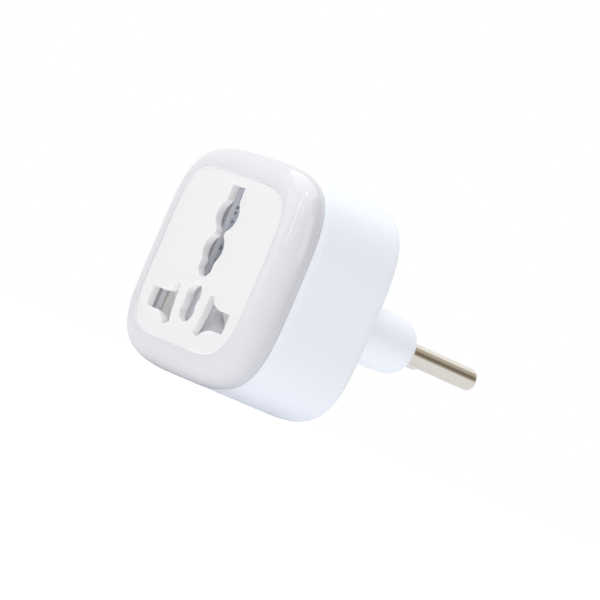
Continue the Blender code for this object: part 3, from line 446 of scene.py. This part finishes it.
def finish_material(name, group, values, bump, shader):
    """A material with colour, roughness and relief from a shared group, and its constants on the shader."""
    made = bpy.data.materials.new(name)
    made.use_nodes = True
    g = Tree(made.node_tree)
    principled = made.node_tree.nodes["Principled BSDF"]
    effect = g.add("ShaderNodeGroup", node_tree=group)
    for key, value in values.items():
        effect.inputs[key].default_value = value
    bumps = {"Height": effect.outputs["Height"], "Strength": bump[0], "Distance": bump[1]}
    relief = g.add("ShaderNodeBump", bumps)
    g.give(principled.inputs["Base Color"], effect.outputs["Colour"])
    g.give(principled.inputs["Roughness"], effect.outputs["Roughness"])
    g.give(principled.inputs["Normal"], relief.outputs["Normal"])
    for key, value in shader.items():
        principled.inputs[key].default_value = value
    return made


GRAIN = moulded_grain()
WORKED = worked_metal()
LOFT = outline_loft()
COIL = coil_tree()
FLAGS = studio_flags()

PANEL_WHITE = finish_material(
    "panel_matt_white",
    GRAIN,
    {
        "Colour": (0.915, 0.915, 0.915, 1),
        "Flow Shade": (0.90, 0.90, 0.905, 1),
        "Flow Amount": 0.5,
        "Roughness": 0.55,
        "Grain Size": 5200.0,
    },
    (0.25, 0.02 * MM),
    {"IOR": 1.46},
)
BEZEL_WHITE = finish_material(
    "bezel_gloss_white",
    GRAIN,
    {
        "Colour": (0.79, 0.785, 0.825, 1),
        "Flow Shade": (0.755, 0.75, 0.79, 1),
        "Flow Amount": 0.5,
        "Flow Size": 45.0,
        "Grain Size": 400.0,
        "Roughness": 0.10,
        "Roughness Change": 0.05,
        # painted shade: the bezel is darkened towards the body, in place of the darker reflection where it
        # curves back
        "Rear Painted Shade": (0.62, 0.62, 0.66, 1),
        "Painted Shade Amount": 1.0,
        "Rear Start": FACE_Y - 0.1 * MM,
        "Rear End": FACE_Y + 4.5 * MM,
    },
    (0.06, 0.05 * MM),
    {"IOR": 1.52, "Coat Weight": 0.35, "Coat Roughness": 0.05},
)
BODY_WHITE = finish_material(
    "body_satin_white",
    GRAIN,
    {
        "Colour": (0.82, 0.85, 0.91, 1),
        "Flow Shade": (0.80, 0.83, 0.895, 1),
        "Flow Amount": 0.5,
        "Flow Size": 40.0,
        "Grain Size": 3800.0,
        "Roughness": 0.42,
        "Roughness Change": 0.08,
    },
    (0.2, 0.02 * MM),
    {"IOR": 1.5},
)
INNER_GREY = finish_material(
    "inner_frame_grey",
    GRAIN,
    {
        "Colour": (0.83, 0.83, 0.87, 1),
        "Flow Shade": (0.79, 0.79, 0.84, 1),
        "Flow Amount": 0.6,
        "Roughness": 0.5,
    },
    (0.25, 0.03 * MM),
    {"IOR": 1.48},
)
SHUTTER_GREY = finish_material(
    "shutter_warm_grey",
    GRAIN,
    {
        "Colour": (0.80, 0.785, 0.765, 1),
        "Flow Shade": (0.76, 0.745, 0.72, 1),
        "Flow Amount": 0.6,
        "Roughness": 0.42,
    },
    (0.25, 0.03 * MM),
    {"IOR": 1.48},
)
PIN_NICKEL = finish_material(
    "pin_bright_nickel",
    WORKED,
    {
        "Colour": (0.80, 0.77, 0.72, 1),
        "Cloud Colour": (0.70, 0.66, 0.60, 1),
        "Line Stretch": (260, 9000, 260),
        "Roughness": 0.10,
        "Roughness Change": 0.08,
    },
    (0.05, 0.02 * MM),
    {"Metallic": 1.0},
)
CONTACT_BRASS = finish_material(
    "contact_rolled_brass",
    WORKED,
    {
        "Colour": (0.76, 0.58, 0.27, 1),
        "Cloud Colour": (0.62, 0.42, 0.18, 1),
        "Line Stretch": (7000, 300, 7000),
        "Roughness": 0.28,
    },
    (0.15, 0.02 * MM),
    {"Metallic": 1.0},
)
SPRING_STEEL = finish_material(
    "spring_drawn_steel",
    WORKED,
    {
        "Colour": (0.62, 0.63, 0.65, 1),
        "Cloud Colour": (0.45, 0.44, 0.43, 1),
        "Line Stretch": (4000, 4000, 900),
        "Roughness": 0.25,
    },
    (0.1, 0.01 * MM),
    {"Metallic": 1.0},
)
SCREW_STEEL = finish_material(
    "screw_zinc_steel",
    WORKED,
    {
        "Colour": (0.66, 0.68, 0.71, 1),
        "Cloud Colour": (0.60, 0.58, 0.50, 1),
        "Line Stretch": (500, 8000, 500),
        "Roughness": 0.3,
    },
    (0.12, 0.02 * MM),
    {"Metallic": 1.0},
)


# ---------------------------------------------------------------- making pieces


def show(name, mesh):
    made = bpy.data.objects.new(name, mesh)
    bpy.context.scene.collection.objects.link(made)
    return made


def settled(target):
    """Turns an object's modifiers and place into a plain mesh at the origin."""
    bpy.context.view_layer.update()
    graph = bpy.context.evaluated_depsgraph_get()
    mesh = bpy.data.meshes.new_from_object(target.evaluated_get(graph))
    mesh.transform(target.matrix_world)
    target.modifiers.clear()
    target.matrix_world = Matrix.Identity(4)
    target.data = mesh
    return target


def with_nodes(target, tree, values):
    """Runs a geometry tree on an object, with its named inputs, and keeps the result as a plain mesh."""
    change = target.modifiers.new(tree.name, "NODES")
    change.node_group = tree
    for item in tree.interface.items_tree:
        if item.in_out == "INPUT" and item.name in values:
            change[item.identifier] = values[item.name]
    return settled(target)


def lofted(name, profile, material, around, half_run=0.0, centre=(0.0, 0.0), squareness=ROUND, **more):
    """A piece from its profile's points: (half size, depth), and maybe squareness and share of thread."""
    mesh = bpy.data.meshes.new(name)
    edges = [(index, index + 1) for index in range(len(profile) - 1)]
    mesh.from_pydata([(point[0], point[1], 0) for point in profile], edges, [])
    square = mesh.attributes.new("squareness", "FLOAT", "POINT")
    square.data.foreach_set("value", [p[2] if len(p) > 2 else squareness for p in profile])
    thread = mesh.attributes.new("thread", "FLOAT", "POINT")
    thread.data.foreach_set("value", [p[3] if len(p) > 3 else 0.0 for p in profile])
    values = {
        "Around": around,
        "Half Run": half_run,
        "Centre": (centre[0], FACE_Y, MID_Z + centre[1]),
        "Finish": material,
        **more,
    }
    made = with_nodes(show(name, mesh), LOFT, values)
    outward(made)
    return made


def outward(target):
    """Points every face of a closed mesh outwards."""
    mesh = bmesh.new()
    mesh.from_mesh(target.data)
    bmesh.ops.recalc_face_normals(mesh, faces=mesh.faces)
    mesh.to_mesh(target.data)
    mesh.free()


def combine(target, other, operation="DIFFERENCE"):
    change = target.modifiers.new(operation.lower(), "BOOLEAN")
    change.operation = operation
    change.object = other
    settled(target)
    bpy.data.objects.remove(other)


def box(name, x, depth, height):
    low, high = at(x[0], depth[0], height[0]), at(x[1], depth[1], height[1])
    mesh = bmesh.new()
    size = Matrix.Diagonal((*(high - low), 1))
    bmesh.ops.create_cube(mesh, size=1, matrix=Matrix.Translation((low + high) / 2) @ size)
    data = bpy.data.meshes.new(name)
    mesh.to_mesh(data)
    mesh.free()
    return show(name, data)


def rounded(profile_point, radius, start, end, steps=5):
    """Profile points round a centre. start and end are quarter turns: 0 is outwards, 1 towards the pins."""
    half, depth = profile_point
    angles = [pi / 2 * (start + (end - start) * step / steps) for step in range(steps + 1)]
    return [(half + radius * cos(angle), depth + radius * sin(angle)) for angle in angles]


def finished(piece, material, body, slot, *nodes, angle=35):
    """Gives a piece its material and shading, hangs it on the body it rides and hides the frame nodes it
    stands in for; slot is not used.
    """
    piece.data.materials.clear()
    piece.data.materials.append(material)
    piece.data.polygons.foreach_set("material_index", [0] * len(piece.data.polygons))
    piece.data.shade_smooth()
    piece.data.set_sharp_from_angle(angle=radians(angle))
    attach(piece, body)
    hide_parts(*nodes)
    return piece


# ---------------------------------------------------------------- outlines of the panel's slots


def arc(middle, radius, start, end, steps):
    angles = [start + (end - start) * step / steps for step in range(steps + 1)]
    return [(middle[0] + radius * cos(angle), middle[1] + radius * sin(angle)) for angle in angles]


def bend(start, control, end, steps=14):
    """Points of a smooth curve from start to end that leans towards control."""
    points = []
    for step in range(steps + 1):
        t = step / steps
        weighted = ((1 - t) ** 2, start), (2 * t * (1 - t), control), (t**2, end)
        points.append(tuple(sum(weight * point[axis] for weight, point in weighted) for axis in (0, 1)))
    return points


def blade_slot(side):
    flat = (BLADE_FLAT_X, BLADE_HALF)
    top = bend(flat, (8.7 * MM, 2.3 * MM), (7.45 * MM, 3.3 * MM)) + [(7.0 * MM, 4.65 * MM)]
    inner = bend((5.45 * MM, 4.4 * MM), (5.6 * MM, 0.3 * MM), (4.42 * MM, -3.5 * MM))
    foot = [(4.95 * MM, -3.95 * MM), (6.4 * MM, -4.5 * MM), (6.85 * MM, -4.35 * MM)]
    bottom = bend((7.1 * MM, -3.6 * MM), (8.3 * MM, -2.4 * MM), (BLADE_FLAT_X, -BLADE_HALF))
    outer = [(BLADE_OUTER_X, -BLADE_HALF), (BLADE_OUTER_X, BLADE_HALF)]
    return [(side * x, ROW_Z + z) for x, z in top + inner + foot + bottom + outer]


def fillet_between(low, high):
    (low_z, low_radius), (high_z, high_radius) = low, high
    reach_low, reach_high = low_radius + EARTH_FILLET, high_radius + EARTH_FILLET
    gap = high_z - low_z
    along = (gap**2 + reach_low**2 - reach_high**2) / (2 * gap)
    return sqrt(reach_low**2 - along**2), low_z + along


def earth_slot():
    upper, middle, lower = EARTH_CIRCLES
    shoulder_x = EARTH_HALF + EARTH_FILLET
    shoulder_z = upper[0] + sqrt((upper[1] + EARTH_FILLET) ** 2 - shoulder_x**2)
    necks = [(shoulder_x, shoulder_z), fillet_between(middle, upper), fillet_between(lower, middle)]

    def angle_to(circle, neck):
        return atan2(neck[1] - circle[0], neck[0])

    right = [(EARTH_HALF, EARTH_TOP_Z)]
    start = pi
    for circle, above, below in zip(EARTH_CIRCLES, necks, necks[1:] + [None]):
        into = angle_to(circle, above)
        right += arc(above, EARTH_FILLET, start, pi + into, 8)
        out = angle_to(circle, below) if below else -pi / 2
        right += arc((0, circle[0]), circle[1], into, out, 24)[1:]
        start = pi + out
    return right + [(-x, z) for x, z in reversed(right[:-1])]


def centre_slot():
    neck = sqrt((CENTRE_RADIUS + CENTRE_FILLET) ** 2 - CENTRE_HALF_RUN**2)
    lean = atan2(CENTRE_HALF_RUN, neck)
    upper, lower = (0, CENTRE_Z + CENTRE_HALF_RUN), (0, CENTRE_Z - CENTRE_HALF_RUN)
    points = arc(upper, CENTRE_RADIUS, -lean, pi + lean, 32)
    points += arc((-neck, CENTRE_Z), CENTRE_FILLET, lean, -lean, 8)[1:]
    points += arc(lower, CENTRE_RADIUS, pi - lean, 2 * pi + lean, 32)[1:]
    return points + arc((neck, CENTRE_Z), CENTRE_FILLET, pi + lean, pi - lean, 8)[1:-1]


def rounded_square(half, squareness, count=256):
    points = []
    for index in range(count):
        angle = 2 * pi * (index + 0.5) / count
        c, s = cos(angle), sin(angle)
        radius = half / (abs(c) ** squareness + abs(s) ** squareness) ** (1 / squareness)
        points.append((radius * c, radius * s))
    return points


def wound(points, way):
    """The points in anticlockwise order for way 1, clockwise for way -1."""
    area = sum(a[0] * b[1] - b[0] * a[1] for a, b in zip(points, points[1:] + points[:1]))
    return points if area * way > 0 else points[::-1]


def rounded_sheet(name, outline, holes, front, back, edge):
    """A flat piece with holes whose edges are rounded over on both faces."""
    curve = bpy.data.curves.new(name, "CURVE")
    curve.dimensions = "2D"
    curve.fill_mode = "BOTH"
    curve.extrude = (back - front) / 2 - edge
    curve.bevel_depth = edge
    curve.bevel_resolution = 3
    curve.offset = -edge
    for loop in [wound(outline, 1)] + [wound(hole, -1) for hole in holes]:
        spline = curve.splines.new("POLY")
        spline.points.add(len(loop) - 1)
        for point, (x, z) in zip(spline.points, loop):
            point.co = (x, z, 0, 1)
        spline.use_cyclic_u = True
    guide = show(name + "_outline", curve)
    middle = Matrix.Translation(at(0, (front + back) / 2, 0))
    guide.matrix_world = middle @ Matrix.Rotation(pi / 2, 4, "X")
    bpy.context.view_layer.update()
    graph = bpy.context.evaluated_depsgraph_get()
    data = bpy.data.meshes.new_from_object(guide.evaluated_get(graph))
    data.transform(guide.matrix_world)
    bpy.data.objects.remove(guide)
    made = show(name, data)
    mesh = bmesh.new()
    mesh.from_mesh(data)
    bmesh.ops.remove_doubles(mesh, verts=mesh.verts, dist=0.001 * MM)
    mesh.to_mesh(data)
    mesh.free()
    outward(made)
    return made


# ---------------------------------------------------------------- outer pieces


def socket_panel():
    outline = rounded_square(PANEL_HALF, PANEL_SQUARENESS)
    holes = [earth_slot(), centre_slot(), blade_slot(1), blade_slot(-1)]
    panel = rounded_sheet("slotted_panel", outline, holes, 0.0, PANEL_THICKNESS, PANEL_EDGE)
    profile = [
        (FLANGE_HALF, FLANGE_FRONT),
        (FLANGE_HALF, FLANGE_BACK),
        (FLANGE_INNER_HALF, FLANGE_BACK),
        (FLANGE_INNER_HALF, FLANGE_FRONT),
        (FLANGE_HALF, FLANGE_FRONT),
    ]
    flange = lofted("flange", profile, PANEL_WHITE, AROUND_INSIDE, squareness=PANEL_SQUARENESS)
    combine(panel, flange, "UNION")
    return finished(panel, PANEL_WHITE, "housing", "panel_plastic", "socket_panel")


def bezel():
    crest = BEZEL_DEPTH * 0.75
    inner_half = LIP_HALF + LIP_ROUNDING / 2
    steps = 26
    profile = [
        (LIP_HALF, FLANGE_FRONT - CLEARANCE, PANEL_SQUARENESS),
        (LIP_HALF, LIP_ROUNDING - BEZEL_PROUD, PANEL_SQUARENESS),
    ]
    for step in range(steps + 1):
        angle = pi / 2 * step / steps
        half = inner_half + (BODY_HALF - inner_half) * sin(angle)
        depth = -BEZEL_PROUD + (crest + BEZEL_PROUD) * (1 - cos(angle))
        squareness = PANEL_SQUARENESS + (BODY_SQUARENESS - PANEL_SQUARENESS) * step / steps
        profile.append((half, depth, squareness))
    rear_half = BODY_HALF - BEZEL_REAR_TUCK
    for step in range(1, 5):
        share = step / 5
        depth = crest + (BEZEL_DEPTH - JOINT_ROUNDING - crest) * share
        profile.append((BODY_HALF - BEZEL_REAR_TUCK * share**2, depth, BODY_SQUARENESS))
    corner = (rear_half - JOINT_ROUNDING, BEZEL_DEPTH - JOINT_ROUNDING)
    profile += [(h, d, BODY_SQUARENESS) for h, d in rounded(corner, JOINT_ROUNDING, 0, 1)]
    tongue_outer = BODY_HALF - HOUSING_WALL - CLEARANCE
    tongue_inner = tongue_outer - TONGUE_WALL
    profile += [
        (tongue_outer, BEZEL_DEPTH, BODY_SQUARENESS),
        (tongue_outer, TONGUE_END, BODY_SQUARENESS),
        (tongue_inner, TONGUE_END, BODY_SQUARENESS),
        (tongue_inner, FLANGE_BACK + CLEARANCE, BODY_SQUARENESS),
        (FLANGE_HALF + CLEARANCE, FLANGE_FRONT - CLEARANCE, PANEL_SQUARENESS),
        (LIP_HALF, FLANGE_FRONT - CLEARANCE, PANEL_SQUARENESS),
    ]
    made = lofted("glossy_bezel", profile, BEZEL_WHITE, AROUND_CASING)
    return finished(made, BEZEL_WHITE, "housing", "bezel_plastic", "bezel", angle=40)


def rear_housing():
    front = BEZEL_DEPTH + JOINT_GAP
    rear_half = BODY_HALF - BEZEL_REAR_TUCK
    profile = [(0, front), (rear_half - JOINT_ROUNDING, front)]
    profile += rounded((rear_half - JOINT_ROUNDING, front + JOINT_ROUNDING), JOINT_ROUNDING, -1, 0)
    for step in range(1, 6):
        share = step / 5
        depth = front + JOINT_ROUNDING + REAR_TUCK_RUN * share
        profile.append((BODY_HALF - BEZEL_REAR_TUCK * (1 - share) ** 2, depth))
    corner = (BODY_HALF - REAR_ROUNDING, BODY_DEPTH - REAR_ROUNDING)
    profile += rounded(corner, REAR_ROUNDING, 0, 1, 14) + [(0, BODY_DEPTH)]
    shell = lofted("satin_housing", profile, BODY_WHITE, AROUND_CASING, squareness=BODY_SQUARENESS)
    combine(shell, boss(), "UNION")
    tub_half = BODY_HALF - HOUSING_WALL
    floor = BODY_DEPTH - REAR_WALL
    inner_round = REAR_ROUNDING / 2
    hollow = [(0, front - 2 * MM), (tub_half, front - 2 * MM)]
    hollow += rounded((tub_half - inner_round, floor - inner_round), inner_round, 0, 1)
    hollow.append((0, floor))
    combine(shell, lofted("hollow", hollow, BODY_WHITE, AROUND_INSIDE, squareness=BODY_SQUARENESS))
    radius = PIN_RADIUS + PIN_BORE_GAP
    mouth = radius + PIN_BORE_LEAD_IN
    bore = [(0, floor - MM), (radius, floor - MM), (radius, BOSS_END - PIN_BORE_LEAD_IN)]
    bore += [(mouth, BOSS_END), (mouth, BOSS_END + MM), (0, BOSS_END + MM)]
    for side in (-1, 1):
        combine(shell, lofted("bore", bore, BODY_WHITE, AROUND_BORE, centre=(side * PIN_X, PIN_Z)))
    return finished(shell, BODY_WHITE, "housing", "body_plastic", "rear_housing", angle=30)


def boss():
    half = BOSS_HALF_HEIGHT
    start = BODY_DEPTH - MM
    profile = [(0, start), (half + BOSS_ROOT_FILLET, start), (half + BOSS_ROOT_FILLET, BODY_DEPTH)]
    for step in range(1, 7):
        angle = pi / 2 * step / 6
        depth = BODY_DEPTH + BOSS_ROOT_FILLET * (1 - cos(angle))
        profile.append((half + BOSS_ROOT_FILLET * (1 - sin(angle)), depth))
    profile += rounded((half - BOSS_ROUNDING, BOSS_END - BOSS_ROUNDING), BOSS_ROUNDING, 0, 1, 16)
    profile.append((0, BOSS_END))
    return lofted("boss", profile, BODY_WHITE, AROUND_BOSS, half_run=PIN_X, centre=(0.0, PIN_Z))


def mains_pin(word, side):
    seat = PIN_INNER_END + PIN_FLANGE_THICKNESS
    tap_end = PIN_INNER_END + PIN_TAP_DEPTH
    flange_round = PIN_FLANGE_RADIUS - PIN_EDGE
    profile = [(0, tap_end), (PIN_TAP_RADIUS, tap_end - PIN_TAP_RADIUS / 2)]
    profile += [(PIN_TAP_RADIUS, PIN_INNER_END + PIN_EDGE), (PIN_TAP_RADIUS + PIN_EDGE, PIN_INNER_END)]
    profile += rounded((flange_round, PIN_INNER_END + PIN_EDGE), PIN_EDGE, -1, 0, 3)
    profile += rounded((flange_round, seat - PIN_EDGE), PIN_EDGE, 0, 1, 3) + [(PIN_RADIUS, seat)]
    tip_centre = (PIN_RADIUS - PIN_TIP_ROUNDING, PIN_TIP - PIN_TIP_ROUNDING)
    profile += rounded(tip_centre, PIN_TIP_ROUNDING, 0, 1, 12)
    profile.append((0, PIN_TIP))
    made = lofted(word + "_plug_pin", profile, PIN_NICKEL, AROUND_PIN, centre=(side * PIN_X, PIN_Z))
    return finished(made, PIN_NICKEL, "housing", "pin_nickel", word + "_pin")


# ---------------------------------------------------------------- inner pieces


def softened(node, name, material, body, slot, edge=MOULDED_EDGE):
    """A copy of a frame node with its sharp edges rounded over, as a moulded or stamped piece has."""
    mesh = bmesh.new()
    mesh.from_mesh(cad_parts[node].data)
    bmesh.ops.remove_doubles(mesh, verts=mesh.verts, dist=SAME_POINT)
    bmesh.ops.dissolve_limit(mesh, angle_limit=radians(0.5), verts=mesh.verts, edges=mesh.edges)
    data = bpy.data.meshes.new(name)
    mesh.to_mesh(data)
    mesh.free()
    made = show(name, data)
    round_over = made.modifiers.new("edges", "BEVEL")
    round_over.width = edge
    round_over.segments = 2
    round_over.limit_method = "ANGLE"
    round_over.angle_limit = radians(35)
    settled(made)
    return finished(made, material, body, slot, node)


def inner_frame():
    softened("shutter_plate", "front_shutter_plate", INNER_GREY, "housing", "inner_plastic")
    softened("contact_carrier", "moulded_contact_carrier", INNER_GREY, "housing", "inner_plastic")


def shutter_and_spring(word):
    shutter = word + "_shutter"
    softened(shutter, "sliding_" + shutter, SHUTTER_GREY, shutter, "shutter_plastic")
    node = shutter + "_spring"
    low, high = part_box(node)
    middle = (low + high) / 2
    values = {
        "Coil Radius": (high.x - low.x) / 2 - SPRING_WIRE_RADIUS,
        "Wire Radius": SPRING_WIRE_RADIUS,
        "Length": high.z - low.z - 2 * SPRING_WIRE_RADIUS,
        "Foot": (middle.x, middle.y, low.z + SPRING_WIRE_RADIUS),
        "Finish": SPRING_STEEL,
    }
    made = with_nodes(show("coiled_" + node, bpy.data.meshes.new(node)), COIL, values)
    outward(made)
    finished(made, SPRING_STEEL, "housing", "spring_steel", node, angle=60)
    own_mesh(made)


def contact_set(word):
    contact, washer = word + "_contact", word + "_lock_washer"
    softened(contact, "brass_" + contact, CONTACT_BRASS, "housing", "contact_brass", CONTACT_EDGE)
    softened(washer, "split_" + washer, SCREW_STEEL, "housing", "fastener_steel", WASHER_EDGE)


def threaded_screw(name, node, shank_radius, pitch):
    """A pan-head screw with a cross recess and a helical thread, on the place of its frame node."""
    low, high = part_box(node)
    head_radius = (high.x - low.x) / 2
    face = low.y - FACE_Y
    end = high.y - FACE_Y
    seat = face + SCREW_HEAD_HEIGHT
    profile = [(0, face), (head_radius * 0.5, face + SCREW_CROWN)]
    for step in range(1, 8):
        angle = pi / 2 * step / 7
        depth = face + SCREW_CROWN + SCREW_HEAD_HEIGHT * 0.55 * (1 - cos(angle))
        profile.append((head_radius * (0.5 + 0.5 * sin(angle)), depth))
    core = shank_radius * 0.86
    profile += [(head_radius, seat), (core, seat)]
    start, taper = seat + 0.4 * MM, end - 1.4 * shank_radius
    count = int((taper - start) / pitch * THREAD_POINTS)
    for step in range(count + 1):
        run_in = min(1.0, step / THREAD_POINTS)
        profile.append((core, start + (taper - start) * step / count, ROUND, run_in))
    profile += [(core * 0.75, (taper + end) / 2, ROUND, 0.4), (core * 0.2, end, ROUND, 0.0), (0, end)]
    centre = ((low.x + high.x) / 2, (low.z + high.z) / 2 - MID_Z)
    more = {"Thread Pitch": pitch, "Thread Depth": shank_radius * 0.13}
    screw = lofted(name, profile, SCREW_STEEL, AROUND_SCREW, centre=centre, **more)
    arm, blade = head_radius * 0.55, head_radius * 0.14
    depth = (face - MM, face + SCREW_HEAD_HEIGHT * 0.6)
    x, z = centre
    combine(screw, box("cross_a", (x - arm, x + arm), depth, (z - blade, z + blade)))
    combine(screw, box("cross_b", (x - blade, x + blade), depth, (z - arm, z + arm)))
    return finished(screw, SCREW_STEEL, "housing", "fastener_steel", node)


# ---------------------------------------------------------------- studio


def add_camera():
    """A long lens level with the slots' row, with the picture turned about its own middle."""
    azimuth, elevation = radians(VIEW_AZIMUTH), radians(VIEW_ELEVATION)
    back = Vector((sin(azimuth) * cos(elevation), -cos(azimuth) * cos(elevation), sin(elevation)))
    right = (-back).cross(Vector((0, 0, 1))).normalized()
    down = (-back).cross(right)
    level = Matrix((right, down, -back))
    c, s = cos(radians(VIEW_ROLL)), sin(radians(VIEW_ROLL))
    rolled = Matrix(((c, -s, 0), (s, c, 0), (0, 0, 1))) @ level
    turn = Vector((radians(VIEW_TURN[0]), radians(VIEW_TURN[1]), 0))
    rows = Matrix.Rotation(turn.length, 3, turn.normalized()) @ rolled
    axes = Matrix((rows[0], -rows[1], -rows[2])).transposed()
    camera = bpy.data.objects.new("camera", bpy.data.cameras.new("camera"))
    bpy.context.scene.collection.objects.link(camera)
    place = at(0, VIEW_TARGET_DEPTH, VIEW_TARGET_Z) + back * VIEW_DISTANCE
    camera.matrix_world = Matrix.Translation(place) @ axes.to_4x4()
    camera.data.lens = VIEW_LENS
    camera.data.sensor_width = VIEW_SENSOR
    camera.data.clip_start = 10 * MM
    camera.data.clip_end = 20
    bpy.context.scene.camera = camera


def add_floor():
    """A large pale matt floor. What the camera, metal and gloss see of it is lifted towards white."""
    mesh = bmesh.new()
    bmesh.ops.create_grid(mesh, x_segments=8, y_segments=8, size=FLOOR_HALF)
    data = bpy.data.meshes.new("studio_floor")
    mesh.to_mesh(data)
    mesh.free()
    floor = show("studio_floor", data)
    material = bpy.data.materials.new("floor_pale")
    material.use_nodes = True
    g = Tree(material.node_tree)
    output = material.node_tree.nodes["Material Output"]
    material.node_tree.nodes.remove(material.node_tree.nodes["Principled BSDF"])
    diffuse = g.add("ShaderNodeBsdfDiffuse", {"Color": FLOOR_COLOUR})
    path = g.add("ShaderNodeLightPath").outputs
    mirrored = g.math("MAXIMUM", path["Is Glossy Ray"], path["Is Transmission Ray"])
    sheen = g.math("MULTIPLY", mirrored, FLOOR_SHEEN)
    strength = g.math("MULTIPLY_ADD", path["Is Camera Ray"], FLOOR_GLOW, sheen)
    glow = g.add("ShaderNodeEmission", {"Color": (1, 1, 1, 1), "Strength": strength})
    surface = g.add("ShaderNodeAddShader", {0: diffuse.outputs[0], 1: glow.outputs[0]})
    g.give(output.inputs["Surface"], surface.outputs[0])
    data.materials.append(material)


def add_world():
    """White surroundings. Gloss and metal also see the dark cards on the pins' side."""
    world = bpy.data.worlds.new("studio")
    bpy.context.scene.world = world
    world.use_nodes = True
    g = Tree(world.node_tree)
    background = world.node_tree.nodes["Background"]
    path = g.add("ShaderNodeLightPath").outputs
    glossy = path["Is Glossy Ray"]
    mirrored = g.math("MAXIMUM", glossy, path["Is Transmission Ray"])
    seen = g.math("MAXIMUM", path["Is Camera Ray"], mirrored)
    towards = g.add("ShaderNodeTexCoord").outputs["Generated"]
    flags = g.add("ShaderNodeGroup", {"Direction": towards}, node_tree=FLAGS)
    covered = g.math("MULTIPLY", glossy, flags.outputs["Covered"])
    g.give(background.inputs["Color"], g.mix(covered, (1, 1, 1, 1), flags.outputs["Colour"]))
    g.give(background.inputs["Strength"], g.math("MULTIPLY_ADD", seen, 1 - AMBIENT, AMBIENT))


def add_softbox(name, place, size, power):
    """A rectangular lamp that looks at the adapter. Its place is (across, along the pins, up) from there."""
    light = bpy.data.lights.new(name, "AREA")
    light.shape = "RECTANGLE"
    light.size, light.size_y = size
    light.energy = power
    lamp = bpy.data.objects.new(name, light)
    bpy.context.scene.collection.objects.link(lamp)
    lamp.location = at(0, 10 * MM, 0) + Vector(place)
    lamp.rotation_mode = "QUATERNION"
    lamp.rotation_quaternion = Vector(place).to_track_quat("Z", "Y")


def add_fill(name, towards, strength):
    """A weak even light without a shadow or a reflection, for what a pale table throws back."""
    light = bpy.data.lights.new(name, "SUN")
    light.energy = strength
    light.angle = radians(FILL_SPREAD)
    light.use_shadow = False
    lamp = bpy.data.objects.new(name, light)
    bpy.context.scene.collection.objects.link(lamp)
    lamp.rotation_mode = "QUATERNION"
    lamp.rotation_quaternion = Vector(towards).to_track_quat("-Z", "Y")
    lamp.visible_glossy = False


def studio():
    add_camera()
    add_floor()
    add_world()
    add_softbox("top_softbox", (-0.1, -0.05, 0.8), (1.1, 1.1), 3.0)
    add_softbox("front_softbox", (-0.35, -0.8, 0.25), (0.5, 0.6), 0.6)
    add_softbox("side_softbox", (0.8, 0.1, 0.3), (0.5, 0.5), 0.8)
    add_softbox("window_pane", (0.17, -0.78, 0.42), (0.035, 0.75), 0.45)
    add_softbox("far_pane", (0.42, -0.67, 0.40), (0.02, 0.65), 0.13)
    add_softbox("ceiling_window", (0.10, -0.27, 0.72), (0.07, 0.05), 0.1)
    add_fill("table_fill", (-0.12, 0, 1), 1.42)
    add_fill("slot_fill", (-0.6, 0.75, -0.1), 0.2)
    bpy.context.scene.view_settings.view_transform = "Standard"


# ---------------------------------------------------------------- the adapter


socket_panel()
bezel()
rear_housing()
inner_frame()
for word, side in (("line", 1), ("neutral", -1)):
    mains_pin(word, side)
    contact_set(word)
    shutter_and_spring(word)
    threaded_screw(word + "_terminal_fastener", word + "_terminal_screw", *TERMINAL_SCREW)
for number in (1, 2, 3):
    threaded_screw(f"carrier_fastener_{number}", f"carrier_screw_{number}", *CARRIER_SCREW)
studio()
